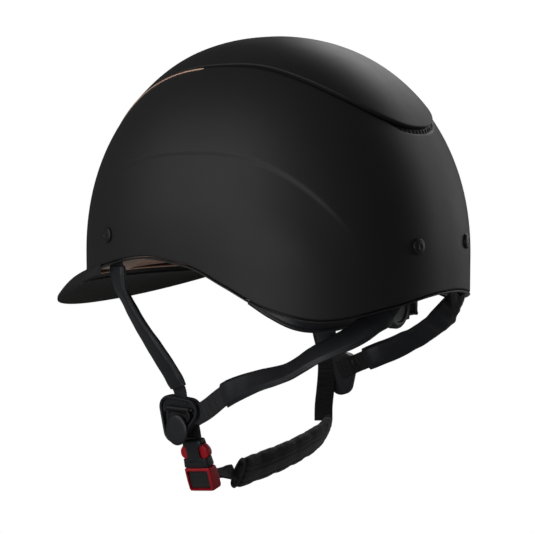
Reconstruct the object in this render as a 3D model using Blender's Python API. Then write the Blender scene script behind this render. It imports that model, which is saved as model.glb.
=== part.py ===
"""Equestrian riding helmet with its harness, buckle, chin pad and nape adjuster.

Metres, +Z up. The wearer faces -Y and the wearer's left is +X. The origin is the
middle of the head opening at brow height, where the head holds the helmet.
"""

import math

import bmesh
import bpy
from mathutils import Matrix, Vector

GAP = 0.0004

# Dome: a superellipsoid. Half sizes, the height where its wall turns vertical,
# and the two exponents (plan and profile).
HALF_LENGTH = 0.136
HALF_WIDTH = 0.112
DOME_HEIGHT = 0.152
DOME_BASE = 0.013
PLAN_POWER = 2.5
PROFILE_POWER = 2.12
SHELL_WALL = 0.0025
RIM_TRIM_HEIGHT = 0.0018
DOME_SEGMENTS = 48

# Rim height above the origin, by angle round the plan from the front.
RIM_LINE = (
    (0, 0.0), (38, 0.0005), (56, 0.0065), (80, 0.017), (90, 0.0138), (100, 0.0015),
    (112, -0.012), (130, -0.0193), (155, -0.0118), (180, -0.0056),
)

# Centre panel: half width at its widest, where that is, and its rounded rear end.
PANEL_HALF_WIDTH = 0.061
PANEL_FRONT_DEG = 16.0
PANEL_WIDEST_DEG = 108.5
PANEL_REAR_DEG = 145.1
PANEL_RISE = 0.0020
PANEL_CORNER_POWER = 2.4
PANEL_FRONT_TAPER = 0.022

# Foam liner: the head space inside it.
CAVITY_HALF_LENGTH = 0.107
CAVITY_HALF_WIDTH = 0.087
CAVITY_TOP = 0.140
HARNESS_SPACE = 0.0060
HARNESS_SPACE_TOP = 0.060
LINER_REAR_EDGE = 0.006
LINER_GAP = 0.0010
PAD_THICKNESS = 0.005
HEADBAND_DROP = 0.0035
TEMPLE_HANG = 0.0075
TEMPLE_START_DEG = 62.0
TEMPLE_SPAN_DEG = 22.0
TEMPLE_END_DEG = 100.0

# Peak
PEAK_HALF_WIDTH = 0.100
PEAK_REACH = 0.096
PEAK_START_Y = -0.078
PEAK_SIDE_HEIGHT = 0.0020
PEAK_DROP = 0.0345
PEAK_END_DEG = 61.0
PEAK_EDGE = 0.0024
PEAK_ROOT = 0.0075
PEAK_ROOT_LOW = -0.0112
LINING = 0.0010
LINING_GAP = 0.0008

# Harness
SLEEVE_WIDTH = 0.0180
SLEEVE_THICKNESS = 0.0044
WEBBING_WIDTH = 0.0140
WEBBING_THICKNESS = 0.0016
SLEEVE_WALL = 0.0008
STRAP_STEPS = 20
RIVET_RADIUS = 0.0052
RIVET_STAND_OFF = 0.0006
WASHER_INSET = 0.0036
FRONT_RIVET_DEG = 64.6
FRONT_RIVET_Z = 0.0296
REAR_RIVET_DEG = 167.0
REAR_RIVET_Z = 0.0255

# Buckle
BUCKLE_WIDTH = 0.021
BUCKLE_THICKNESS = 0.009
SOCKET_LENGTH = 0.020
PLUG_LENGTH = 0.017
PRONG_LENGTH = 0.0165

# Nape adjuster
DIAL_CENTRE = Vector((0.0, 0.0890, -0.0190))
DIAL_RADIUS = 0.0145
PINION_RADIUS = 0.0040
PINION_TEETH = 10
RACK_TOOTH = 0.0007
CASE_WIDTH = 0.060
CRADLE_TILT_PLACE = Vector((0.0, 0.038, -0.005))

# Chin pad
PAD_WIDTH = 0.026
PAD_DEPTH = 0.0095


def clear_scene():
    for item in list(bpy.data.objects):
        bpy.data.objects.remove(item, do_unlink=True)


def finish_of(name, colour, roughness, metallic=0.0):
    made = bpy.data.materials.new(name)
    made.use_nodes = True
    shader = made.node_tree.nodes["Principled BSDF"]
    shader.inputs["Base Color"].default_value = (*colour, 1.0)
    shader.inputs["Roughness"].default_value = roughness
    shader.inputs["Metallic"].default_value = metallic
    return made


def solid(name, points, faces, finish):
    """A closed body from points and faces, with its normals facing out."""
    mesh = bpy.data.meshes.new(name)
    mesh.from_pydata([tuple(p) for p in points], [], faces)
    work = bmesh.new()
    work.from_mesh(mesh)
    bmesh.ops.remove_doubles(work, verts=work.verts, dist=1e-6)
    bmesh.ops.recalc_face_normals(work, faces=work.faces)
    if work.calc_volume(signed=True) < 0:
        bmesh.ops.reverse_faces(work, faces=work.faces)
    work.to_mesh(mesh)
    work.free()
    mesh.shade_smooth()
    mesh.set_sharp_from_angle(angle=math.radians(35))
    mesh.materials.append(finish)
    made = bpy.data.objects.new(name, mesh)
    bpy.context.collection.objects.link(made)
    return made


def move_origin(item, place):
    """Puts an object's origin at a place without moving its surface."""
    offset = Vector(place) - item.location
    item.data.transform(Matrix.Translation(-offset))
    item.location = Vector(place)
    return item


def cut(item, cutter):
    """Takes a closed cutter away from an item, for good."""
    change = item.modifiers.new("cut", "BOOLEAN")
    change.operation = "DIFFERENCE"
    change.solver = "EXACT"
    change.object = cutter
    bake(item)
    bpy.data.objects.remove(cutter, do_unlink=True)


def join(item, other):
    """Makes one body of an item and a piece that overlaps it."""
    change = item.modifiers.new("join", "BOOLEAN")
    change.operation = "UNION"
    change.solver = "EXACT"
    change.object = other
    bake(item)
    bpy.data.objects.remove(other, do_unlink=True)


def bake(item):
    bpy.context.view_layer.update()
    graph = bpy.context.evaluated_depsgraph_get()
    mesh = bpy.data.meshes.new_from_object(item.evaluated_get(graph))
    item.modifiers.clear()
    item.data = mesh


# --- Curves and the dome ----------------------------------------------------


def eased(line, at):
    """A smooth height at a place, through a short list of (place, height) pairs."""
    for (a, low), (b, high) in zip(line[:-1], line[1:]):
        if at <= b:
            share = (at - a) / (b - a)
            i = line.index((a, low))
            before = line[max(i - 1, 0)]
            after = line[min(i + 2, len(line) - 1)]
            slope_a = (high - before[1]) / max(b - before[0], 1e-9) if i else 0.0
            slope_b = (after[1] - low) / max(after[0] - a, 1e-9)
            if i + 2 >= len(line):
                slope_b = 0.0
            span = b - a
            s2, s3 = share**2, share**3
            return (
                (2 * s3 - 3 * s2 + 1) * low
                + (s3 - 2 * s2 + share) * span * slope_a
                + (3 * s2 - 2 * s3) * high
                + (s3 - s2) * span * slope_b
            )
    return line[-1][1]


def rim_height(degrees):
    turned = abs((degrees + 180.0) % 360.0 - 180.0)
    return eased(RIM_LINE, turned)


def power(value, exponent):
    return math.copysign(abs(value) ** exponent, value)


def plan(degrees, half_width, half_length):
    """A point of the dome's outline seen from above, by angle from the front."""
    turn = math.radians(degrees)
    x = half_width * power(math.sin(turn), 2 / PLAN_POWER)
    y = -half_length * power(math.cos(turn), 2 / PLAN_POWER)
    return x, y


def shrink_at(z, height):
    """How far the dome has closed in at a height: 1 at the base, 0 at the crown."""
    rise = min(max((z - DOME_BASE) / height, 0.0), 1.0)
    return (1 - rise**PROFILE_POWER) ** (1 / PROFILE_POWER)


def dome(degrees, share, start_z, half_width, half_length, height):
    """A point on a dome, from share 0 at start_z to share 1 at the crown."""
    if start_z < DOME_BASE:
        first = math.asin((start_z - DOME_BASE) / height)
    else:
        first = math.asin(((start_z - DOME_BASE) / height) ** (PROFILE_POWER / 2))
    lift = first + (math.pi / 2 - first) * share
    if lift < 0:
        z = DOME_BASE + height * math.sin(lift)
    else:
        z = DOME_BASE + height * math.sin(lift) ** (2 / PROFILE_POWER)
    x, y = plan(degrees, half_width, half_length)
    closed = shrink_at(z, height) if share < 1 else 0.0
    return Vector((x * closed, y * closed, z))


def shell_wall(degrees, z, inset):
    """A point on the shell at a height, inset from its outer surface."""
    closed = shrink_at(z, DOME_HEIGHT - inset)
    x, y = plan(degrees, HALF_WIDTH - inset, HALF_LENGTH - inset)
    return Vector((x * closed, y * closed, z))


def shell_normal(degrees, z):
    here = shell_wall(degrees, z, 0.0)
    side = shell_wall(degrees + 1, z, 0.0) - here
    rise = shell_wall(degrees, z + 0.002, 0.0) - here
    out = side.cross(rise).normalized()
    return out if out.dot(Vector((here.x, here.y, 0))) > 0 else -out


def crown_point(x, lift_deg, rise):
    """A point on the dome at a distance from its middle plane, by lift angle from
    the front over the crown, rise above the shell."""
    half_width, half_length = HALF_WIDTH + rise, HALF_LENGTH + rise
    height = DOME_HEIGHT + rise
    turn = math.radians(lift_deg)
    low, high = 0.0, 1.2
    for _ in range(50):
        reach = (low + high) / 2
        across = abs(x / half_width) ** PLAN_POWER
        along = abs(reach * math.cos(turn)) ** PLAN_POWER
        up = max(reach * math.sin(turn), 0.0) ** PROFILE_POWER
        if (across + along) ** (PROFILE_POWER / PLAN_POWER) + up < 1:
            low = reach
        else:
            high = reach
    y = -half_length * low * math.cos(turn)
    return Vector((x, y, DOME_BASE + height * low * math.sin(turn)))


# --- Body builders ----------------------------------------------------------


def cup(name, outer, inner, levels, finish, segments=DOME_SEGMENTS):
    """A domed wall. outer and inner give a point by angle and share of the way up."""
    points, faces = [], []
    for side in (outer, inner):
        for level in range(levels):
            for i in range(segments):
                points.append(side(360.0 * i / segments, level / levels))
        points.append(side(0.0, 1.0))
    count = segments * levels + 1
    for start in (0, count):
        for level in range(levels - 1):
            row = start + level * segments
            for i in range(segments):
                j = (i + 1) % segments
                faces.append((row + i, row + j, row + segments + j, row + segments + i))
        row = start + (levels - 1) * segments
        for i in range(segments):
            faces.append((row + i, row + (i + 1) % segments, start + count - 1))
    for i in range(segments):
        j = (i + 1) % segments
        faces.append((i, j, count + j, count + i))
    return solid(name, points, faces, finish)


def sweep(name, sections, finish, closed=False):
    """A body through sections of equally many points, capped unless closed."""
    count = len(sections[0])
    points = [p for section in sections for p in section]
    faces = []
    steps = len(sections) if closed else len(sections) - 1
    for i in range(steps):
        a, b = i * count, ((i + 1) % len(sections)) * count
        for j in range(count):
            k = (j + 1) % count
            faces.append((a + j, a + k, b + k, b + j))
    if not closed:
        faces.append(tuple(range(count)))
        last = (len(sections) - 1) * count
        faces.append(tuple(range(last, last + count)))
    return solid(name, points, faces, finish)


def tube(name, outer, inner, finish):
    """A body with a hole all along it, from two lists of matching sections."""
    count = len(outer[0])
    points = [p for section in outer for p in section]
    start = len(points)
    points += [p for section in inner for p in section]
    faces = []
    for base in (0, start):
        for i in range(len(outer) - 1):
            a = base + i * count
            for j in range(count):
                k = (j + 1) % count
                faces.append((a + j, a + k, a + count + k, a + count + j))
    for row in (0, (len(outer) - 1) * count):
        for j in range(count):
            k = (j + 1) % count
            faces.append((row + j, row + k, start + row + k, start + row + j))
    return solid(name, points, faces, finish)


def curve_through(points, steps):
    """Points of a smooth curve through a few points, evenly spaced along it."""
    placed = [Vector(p) for p in points]
    fine = []
    for i in range(len(placed) - 1):
        a = placed[max(i - 1, 0)]
        b, c = placed[i], placed[i + 1]
        d = placed[min(i + 2, len(placed) - 1)]
        for k in range(16):
            t = k / 16
            fine.append(
                0.5 * (2 * b + (c - a) * t + (2 * a - 5 * b + 4 * c - d) * t**2
                       + (3 * b - a - 3 * c + d) * t**3)
            )
    fine.append(placed[-1])
    lengths = [0.0]
    for a, b in zip(fine[:-1], fine[1:]):
        lengths.append(lengths[-1] + (b - a).length)
    result, k = [], 0
    for i in range(steps + 1):
        goal = lengths[-1] * i / steps
        while k < len(lengths) - 2 and lengths[k + 1] < goal:
            k += 1
        share = (goal - lengths[k]) / max(lengths[k + 1] - lengths[k], 1e-12)
        result.append(fine[k].lerp(fine[k + 1], share))
    return result


def facing_at(facing, share):
    """The outward side of a strap, from (share of its length, direction) pairs."""
    for (a, first), (b, last) in zip(facing[:-1], facing[1:]):
        if share <= b:
            return Vector(first).lerp(Vector(last), (share - a) / (b - a))
    return Vector(facing[-1][1])


def strap_sections(route, facing, span, steps, width, thickness):
    """Rounded flat sections along part of a route. span is its first and last share."""
    fine = curve_through(route, 200)
    sections = []
    for i in range(steps + 1):
        share = span[0] + (span[1] - span[0]) * i / steps
        at = round(200 * share)
        here = fine[at]
        along = (fine[min(at + 4, 200)] - fine[max(at - 4, 0)]).normalized()
        across = facing_at(facing, share).cross(along).normalized()
        out = along.cross(across).normalized()
        w, t = width / 2, thickness / 2
        corner = min(t * 0.8, 0.0012)
        outline = (
            (w, t - corner), (w - corner, t), (-w + corner, t), (-w, t - corner),
            (-w, -t + corner), (-w + corner, -t), (w - corner, -t), (w, -t + corner),
        )
        sections.append([here + across * a + out * b for a, b in outline])
    return sections


def box(name, low, high, finish, bevel=0.0):
    """A box between two corners, with rounded edges if bevel is given."""
    work = bmesh.new()
    bmesh.ops.create_cube(work, size=1.0)
    low, high = Vector(low), Vector(high)
    for v in work.verts:
        v.co = Vector(low[i] + (v.co[i] + 0.5) * (high[i] - low[i]) for i in range(3))
    if bevel:
        bmesh.ops.bevel(
            work, geom=work.edges[:], offset=bevel, segments=2, profile=0.5, affect="EDGES"
        )
    return from_bmesh(name, work, finish)


def from_bmesh(name, work, finish):
    bmesh.ops.recalc_face_normals(work, faces=work.faces)
    mesh = bpy.data.meshes.new(name)
    work.to_mesh(mesh)
    work.free()
    mesh.shade_smooth()
    mesh.set_sharp_from_angle(angle=math.radians(35))
    mesh.materials.append(finish)
    made = bpy.data.objects.new(name, mesh)
    bpy.context.collection.objects.link(made)
    return made


def turned(name, profile, finish, place, axis, segments=24):
    """A round solid from (radius, height) pairs, first and last on the axis."""
    points, faces = [], []
    rings = profile[1:-1]
    for radius, height in rings:
        for i in range(segments):
            turn = math.tau * i / segments
            points.append(Vector((radius * math.cos(turn), radius * math.sin(turn), height)))
    low, high = len(points), len(points) + 1
    points += [Vector((0, 0, profile[0][1])), Vector((0, 0, profile[-1][1]))]
    for row in range(len(rings) - 1):
        for i in range(segments):
            j = (i + 1) % segments
            a = row * segments
            faces.append((a + i, a + j, a + segments + j, a + segments + i))
    top = (len(rings) - 1) * segments
    for i in range(segments):
        j = (i + 1) % segments
        faces.append((low, j, i))
        faces.append((high, top + i, top + j))
    turn = Vector((0, 0, 1)).rotation_difference(Vector(axis)).to_matrix().to_4x4()
    made = solid(name, points, faces, finish)
    made.data.transform(turn)
    made.location = Vector(place)
    return made


def rod(name, radius, length, finish, place, axis, segments=16):
    """A plain cylinder centred on a place."""
    profile = ((0, -length / 2), (radius, -length / 2), (radius, length / 2), (0, length / 2))
    return turned(name, profile, finish, place, axis, segments)


# --- Shell, liner and trims -------------------------------------------------


def outer_shell(finish):
    def side(inset):
        def at(degrees, share):
            return dome(
                degrees, share, rim_height(degrees), HALF_WIDTH - inset,
                HALF_LENGTH - inset, DOME_HEIGHT - inset,
            )
        return at
    return cup("outer_shell", side(0.0), side(SHELL_WALL), 9, finish)


def rim_trim(finish):
    sections = []
    for i in range(DOME_SEGMENTS):
        degrees = 360.0 * i / DOME_SEGMENTS
        top = rim_height(degrees) - GAP
        corners = []
        for inset, drop in ((-0.0002, 0.0), (-0.0002, 1.0), (0.0032, 1.0), (0.0032, 0.0)):
            point = shell_wall(degrees, top, inset)
            point.z = top - drop * RIM_TRIM_HEIGHT
            corners.append(point)
        sections.append(corners)
    return sweep("rim_trim", sections, finish, closed=True)


def liner_edge(degrees):
    """The foam's lower edge: just above the rim, and level behind the ears."""
    turned_by = abs((degrees + 180.0) % 360.0 - 180.0)
    edge = rim_height(degrees) + 0.003
    return edge if turned_by < 96 else max(edge, LINER_REAR_EDGE)


def impact_liner(finish):
    def outer(degrees, share):
        start = liner_edge(degrees)
        plain = dome(degrees, share, start, HALF_WIDTH, HALF_LENGTH, DOME_HEIGHT)
        low = min(max(1 - plain.z / HARNESS_SPACE_TOP, 0.0), 1.0)
        inset = SHELL_WALL + LINER_GAP + HARNESS_SPACE * min(1.0, 2.2 * low)
        return dome(
            degrees, share, start, HALF_WIDTH - inset, HALF_LENGTH - inset,
            DOME_HEIGHT - SHELL_WALL - LINER_GAP,
        )

    def inner(degrees, share):
        return dome(
            degrees, share, liner_edge(degrees), CAVITY_HALF_WIDTH, CAVITY_HALF_LENGTH,
            CAVITY_TOP - DOME_BASE,
        )

    return cup("impact_liner", outer, inner, 8, finish)


def comfort_liner(finish):
    def side(inset):
        def at(degrees, share):
            return dome(
                degrees, share, 0.052, CAVITY_HALF_WIDTH - inset,
                CAVITY_HALF_LENGTH - inset, CAVITY_TOP - DOME_BASE - inset,
            )
        return at
    return cup("comfort_liner", side(0.0012), side(0.0012 + PAD_THICKNESS), 5, finish, 32)


def headband_low(degrees):
    """The lower edge of the headband, which hangs lower at the temples."""
    turned = abs((degrees + 180.0) % 360.0 - 180.0)
    share = min(max((turned - TEMPLE_START_DEG) / TEMPLE_SPAN_DEG, 0.0), 1.0)
    hang = share * share * (3 - 2 * share) if turned < TEMPLE_END_DEG else 0.0
    return liner_edge(degrees) - HEADBAND_DROP - TEMPLE_HANG * hang


def headband(name, first_deg, last_deg, steps, finish):
    """A padded band along the inside of the foam, above the rim."""
    sections = []
    for i in range(steps + 1):
        degrees = first_deg + (last_deg - first_deg) * i / steps
        low, high = headband_low(degrees), liner_edge(degrees) + 0.026
        corners = []
        for inset, z in (
            (0.0012, low), (0.0012, high), (0.0035, high), (0.0062, high - 0.004),
            (0.0062, low + 0.004), (0.0035, low),
        ):
            x, y = plan(degrees, CAVITY_HALF_WIDTH - inset, CAVITY_HALF_LENGTH - inset)
            closed = shrink_at(z, CAVITY_TOP - DOME_BASE)
            corners.append(Vector((x * closed, y * closed, z)))
        sections.append(corners)
    return sweep(name, sections, finish)


def panel_half_width(lift_deg):
    if lift_deg >= PANEL_WIDEST_DEG:
        share = (lift_deg - PANEL_WIDEST_DEG) / (PANEL_REAR_DEG - PANEL_WIDEST_DEG)
        left = max(1 - share**PANEL_CORNER_POWER, 0.0)
        return PANEL_HALF_WIDTH * left ** (1 / PANEL_CORNER_POWER)
    share = (PANEL_WIDEST_DEG - lift_deg) / (PANEL_WIDEST_DEG - PANEL_FRONT_DEG)
    return PANEL_HALF_WIDTH - PANEL_FRONT_TAPER * share**3


def panel_lift(i, steps):
    """Lift angles along the panel, closer together where its rear end is round."""
    share = i / steps
    eased_share = math.sin(share * math.pi / 2)
    return PANEL_FRONT_DEG + (PANEL_REAR_DEG - 0.6 - PANEL_FRONT_DEG) * eased_share


def crown_panel(finish):
    steps, across = 22, 12
    sections = []
    for i in range(steps + 1):
        lift = panel_lift(i, steps)
        half = panel_half_width(lift)
        spread = [half * math.sin(math.pi / 2 * (2 * k / across - 1)) for k in range(across + 1)]
        top = [crown_point(x, lift, PANEL_RISE) for x in spread]
        bottom = [crown_point(x, lift, 0.0009) for x in reversed(spread)]
        sections.append(top + bottom)
    return sweep("crown_panel", sections, finish)


def edge_strip(name, side, first, last, near, far, low, high, steps, finish):
    """A thin strip on the shell beside the panel's edge, near to far from it."""
    sections = []
    for i in range(steps + 1):
        lift = first + (last - first) * i / steps
        half = panel_half_width(lift)
        corners = []
        for offset, rise in ((near, low), (near, high), (far, high), (far, low)):
            corners.append(crown_point(side * (half + offset), lift, rise))
        sections.append(corners)
    return sweep(name, sections, finish)


def vent_grille(finish):
    """The curved grille in the recess behind the panel's rounded rear end."""
    steps = 24
    sections = []
    for i in range(steps + 1):
        turn = math.pi * (0.22 + 0.56 * i / steps)
        corners = []
        for grow, rise in ((0.0012, 0.0006), (0.0012, 0.0013), (0.0052, 0.0013), (0.0052, 0.0006)):
            grown = (PANEL_HALF_WIDTH + grow) / PANEL_HALF_WIDTH
            span = (PANEL_REAR_DEG - PANEL_WIDEST_DEG) * (1 + grow / 0.075)
            x = grown * PANEL_HALF_WIDTH * power(math.cos(turn), 2 / PANEL_CORNER_POWER)
            lift = PANEL_WIDEST_DEG + span * math.sin(turn) ** (2 / PANEL_CORNER_POWER)
            corners.append(crown_point(x, lift, rise))
        sections.append(corners)
    return sweep("rear_vent_grille", sections, finish)


# --- Peak -------------------------------------------------------------------


def peak_sections(root_low, root_high, edge_low, edge_high, first_share, reach=1.0):
    """Sections of the peak from its root on the shell to its outer edge."""
    steps = 28
    sections = []
    for i in range(steps + 1):
        share = reach * (2 * i / steps - 1)
        degrees = share * PEAK_END_DEG
        turn = math.pi / 2 * share
        x = PEAK_HALF_WIDTH * math.sin(turn)
        y = PEAK_START_Y - PEAK_REACH * math.cos(turn)
        root_z = rim_height(degrees) + 0.004
        edge_z = PEAK_SIDE_HEIGHT - PEAK_DROP * math.cos(turn)
        root = shell_wall(degrees, root_z, -0.0007)
        top, bottom = [], []
        for k in range(5):
            s = first_share + (1 - first_share) * k / 4
            here = Vector((root.x + (x - root.x) * s, root.y + (y - root.y) * s, 0))
            middle = root_z + (edge_z - root_z) * (0.75 * s + 0.25 * s * s)
            fade = (1 - s) ** 2
            high = middle + edge_high + (root_high - edge_high) * fade
            low = middle + edge_low + (root_low - edge_low) * fade
            top.append(Vector((here.x, here.y, high)))
            bottom.append(Vector((here.x, here.y, low)))
        sections.append(top + list(reversed(bottom)))
    return sections


def peak(finish):
    sections = peak_sections(PEAK_ROOT_LOW, PEAK_ROOT_LOW + PEAK_ROOT, 0.0, PEAK_EDGE, 0.0)
    return sweep("peak", sections, finish)


def peak_lining(finish):
    sections = peak_sections(
        PEAK_ROOT_LOW - LINING_GAP - LINING, PEAK_ROOT_LOW - LINING_GAP,
        -LINING_GAP - LINING, -LINING_GAP, 0.06, 0.86,
    )
    return sweep("peak_lining", sections, finish)


def brow_trim(finish):
    """The gold line where the lining of the peak meets the shell's edge."""
    sections = []
    for i in range(29):
        degrees = -54 + 108 * i / 28
        top = rim_height(degrees) - RIM_TRIM_HEIGHT - 2 * GAP
        corners = []
        for inset, drop in ((-0.0002, 0.0), (-0.0002, 0.0016), (0.0030, 0.0016), (0.0030, 0.0)):
            point = shell_wall(degrees, top, inset)
            point.z = top - drop
            corners.append(point)
        sections.append(corners)
    return sweep("brow_trim", sections, finish)


# --- Harness ----------------------------------------------------------------

# Straps run from the rivets down inside the shell, then freely. A stretch inside
# the shell is (angle, height, inset); a free stretch is plain points.
FRONT_INSIDE = ((64.6, 0.033, 0.0044), (64.6, 0.022, 0.0046), (64.8, 0.010, 0.0064))
REAR_INSIDE = (
    (167.0, 0.032, 0.0044), (166.0, 0.016, 0.0046), (162.5, 0.000, 0.0062),
    (157.0, -0.0135, 0.0066), (150.0, -0.0230, 0.0070), (142.0, -0.0325, 0.0078),
)
REAR_RIGHT_INSIDE = (
    (-167.0, 0.032, 0.0044), (-166.0, 0.018, 0.0046), (-161.0, 0.003, 0.0064),
    (-154.0, -0.0105, 0.0068), (-146.5, -0.0175, 0.0072), (-140.0, -0.0235, 0.0078),
)
FRONT_LEFT_FREE = (
    (0.0950, -0.0650, -0.0050), (0.0915, -0.0605, -0.0175), (0.0885, -0.0525, -0.0325),
    (0.0850, -0.0425, -0.0480), (0.0810, -0.0335, -0.0630), (0.0785, -0.0285, -0.0730),
    (0.0775, -0.0268, -0.0780),
)
FRONT_RIGHT_FREE = (
    (-0.0960, -0.0530, -0.0080), (-0.0950, -0.0350, -0.0260), (-0.0925, -0.0210, -0.0440),
    (-0.0910, -0.0150, -0.0580), (-0.0905, -0.0125, -0.0670),
)
REAR_LEFT_FREE = (
    (0.0810, 0.0860, -0.0405), (0.0825, 0.0650, -0.0538), (0.0815, 0.0400, -0.0630),
    (0.0790, 0.0150, -0.0745), (0.0775, -0.0010, -0.0855), (0.0775, -0.0060, -0.0890),
)
REAR_RIGHT_FREE = (
    (-0.0830, 0.0920, -0.0330), (-0.0920, 0.0720, -0.0470), (-0.0945, 0.0480, -0.0600),
    (-0.0930, 0.0280, -0.0690), (-0.0920, 0.0160, -0.0745),
)
SOCKET_LINE = (
    (0.0715, -0.0250, -0.0860), (0.0712, -0.0242, -0.0950), (0.0698, -0.0232, -0.1030),
    (0.0685, -0.0226, -0.1110),
)
CHIN_FAR_LINE = (
    (-0.0868, -0.0110, -0.0780), (-0.0855, -0.0105, -0.0880), (-0.0805, -0.0085, -0.0985),
    (-0.0745, -0.0060, -0.1085), (-0.0695, -0.0030, -0.1185),
)
CHIN_NEAR_LINE = (
    (0.0656, -0.0190, -0.1412), (0.0568, -0.0185, -0.1396), (0.0500, -0.0145, -0.1382),
    (0.0450, -0.0105, -0.1382), (0.0395, -0.0080, -0.1388),
)
PAD_LINE = (
    (0.0370, -0.0070, -0.1395), (0.0200, -0.0045, -0.1385), (-0.0050, 0.0020, -0.1345),
    (-0.0280, 0.0050, -0.1305), (-0.0480, 0.0045, -0.1270), (-0.0650, 0.0000, -0.1240),
)


def mirrored(inside):
    return tuple((-degrees, z, inset) for degrees, z, inset in inside)


def route_of(inside, free):
    """A strap's whole route: its stretch inside the shell, then its free points."""
    return [shell_wall(*place) for place in inside] + [Vector(p) for p in free]


def inside_facing(inside, shares, rest):
    """Faces the shell along the first stretch, then the directions in rest."""
    turned_to = [
        (share, shell_normal(place[0], place[1])) for share, place in zip(shares, inside)
    ]
    return turned_to + list(rest)


def strap(name, route, facing, span, steps, width, thickness, finish):
    return sweep(name, strap_sections(route, facing, span, steps, width, thickness), finish)


def sleeve(name, route, facing, span, steps, finish):
    """A hollow leatherette sleeve round part of a strap."""
    outer = strap_sections(route, facing, span, steps, SLEEVE_WIDTH, SLEEVE_THICKNESS)
    inner = strap_sections(
        route, facing, span, steps, SLEEVE_WIDTH - 2 * SLEEVE_WALL,
        SLEEVE_THICKNESS - 2 * SLEEVE_WALL,
    )
    return tube(name, outer, inner, finish)


def rivet(name, degrees, z, finish):
    out = shell_normal(degrees, z)
    place = shell_wall(degrees, z, 0.0) + out * RIVET_STAND_OFF
    profile = (
        (0, 0.0), (RIVET_RADIUS, 0.0), (RIVET_RADIUS, 0.0008), (RIVET_RADIUS * 0.8, 0.0018),
        (RIVET_RADIUS * 0.4, 0.0022), (0, 0.0023),
    )
    return turned(name, profile, finish, place, out, 20)


def washer(name, degrees, z, finish):
    out = shell_normal(degrees, z)
    place = shell_wall(degrees, z, SHELL_WALL) - out * WASHER_INSET
    profile = ((0, -0.0009), (0.0045, -0.0009), (0.0045, 0.0), (0, 0.0))
    return turned(name, profile, finish, place, out, 16)


# --- Strap dividers ---------------------------------------------------------


def hull_outline(circles, steps):
    """The outline round three circles, each (across, up, radius), as points."""
    points = []
    count = len(circles)
    for i, (a, b, radius) in enumerate(circles):
        before, after = circles[i - 1], circles[(i + 1) % count]
        start = math.atan2(b - before[1], a - before[0]) - math.pi / 2
        end = math.atan2(after[1] - b, after[0] - a) - math.pi / 2
        while end < start:
            end += math.tau
        for k in range(steps + 1):
            turn = start + (end - start) * k / steps
            points.append((a + radius * math.cos(turn), b + radius * math.sin(turn)))
    return points


DIVIDER_CIRCLES = ((-0.0035, -0.0075, 0.0090), (0.0085, 0.0070, 0.0085), (-0.0075, 0.0080, 0.0085))
LEVER_CIRCLES = ((-0.0035, -0.0075, 0.0065), (0.0062, 0.0030, 0.0045), (-0.0062, 0.0035, 0.0045))
LEVER_HINGE_Z = 0.0075
DIVIDER_DEPTH = 0.0075
POCKET_DEPTH = 0.0045
HINGE_PIN_RADIUS = 0.0010


def plate(name, circles, low, high, finish, steps=5):
    """A flat plate with a three-lobed outline, low to high along local X."""
    edge = 0.0008
    sections = []
    for x, inset in ((low, edge), (low + edge, 0.0), (high - edge, 0.0), (high, edge)):
        shrunk = [(a, b, radius - inset) for a, b, radius in circles]
        outline = hull_outline(shrunk, steps)
        sections.append([Vector((x, a, b)) for a, b in outline])
    return sweep(name, sections, finish)


DIVIDER_LEFT_CENTRE = Vector((0.0737, -0.0270, -0.0970))
DIVIDER_RIGHT_CENTRE = Vector((-0.0885, -0.0040, -0.0850))


def divider(label, centre, outward, finish, lever_finish, metal):
    """The housing, its locking lever and the lever's pin. outward is +1 or -1."""
    body = plate(f"divider_body_{label}", DIVIDER_CIRCLES, 0.0, DIVIDER_DEPTH, finish)
    grown = [(a, b, radius + 0.0006) for a, b, radius in LEVER_CIRCLES]
    floor = DIVIDER_DEPTH - POCKET_DEPTH
    cut(body, plate("pocket", grown, floor, DIVIDER_DEPTH + 0.004, finish))
    knuckle_low, knuckle_high = LEVER_HINGE_Z - 0.0021, LEVER_HINGE_Z + 0.0021
    cut(body, box(
        "knuckle_space", (floor, -0.0102, knuckle_low - 0.0024),
        (DIVIDER_DEPTH + 0.004, 0.0102, knuckle_high + 0.0012), finish,
    ))
    hinge_x = DIVIDER_DEPTH - 0.0021
    lever = plate(
        f"divider_lever_{label}", LEVER_CIRCLES, floor + 0.0006, DIVIDER_DEPTH + 0.0004,
        lever_finish,
    )
    pin_place = (hinge_x, 0.0, LEVER_HINGE_Z)
    knuckle = rod("knuckle", 0.0018, 0.0190, lever_finish, (0, 0, 0), (0, 1, 0))
    knuckle.data.transform(Matrix.Translation(pin_place))
    join(lever, knuckle)
    for item, reach in ((lever, 0.024), (body, 0.0250)):
        hole = rod("pin_hole", HINGE_PIN_RADIUS + 0.00006, reach, metal, (0, 0, 0), (0, 1, 0))
        hole.data.transform(Matrix.Translation(pin_place))
        cut(item, hole)
    pin = rod(f"divider_pin_{label}", HINGE_PIN_RADIUS, 0.0244, metal, (0, 0, 0), (0, 1, 0))
    pin.data.transform(Matrix.Translation(pin_place))
    turn = Matrix.Identity(4) if outward > 0 else Matrix.Rotation(math.pi, 4, "Z")
    body.matrix_world = Matrix.Translation(centre) @ turn
    for item in (lever, pin):
        item.data.transform(Matrix.Translation(-Vector(pin_place)))
        item.matrix_world = Matrix.Translation(centre) @ turn @ Matrix.Translation(pin_place)
    return body, lever, pin


# --- Buckle -----------------------------------------------------------------

BUCKLE_JOIN = Vector((0.0645, -0.0203, -0.1312))
BUCKLE_AXIS = Vector((-0.184, 0.131, -0.974)).normalized()


def buckle_frame():
    """Local +Z up the buckle's axis, local +X outward, local +Y towards the rear."""
    up = -BUCKLE_AXIS
    rear = up.cross(Vector((1, 0, 0))).normalized()
    out = rear.cross(up).normalized()
    turn = Matrix((out, rear, up)).transposed().to_4x4()
    return Matrix.Translation(BUCKLE_JOIN) @ turn


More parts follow.
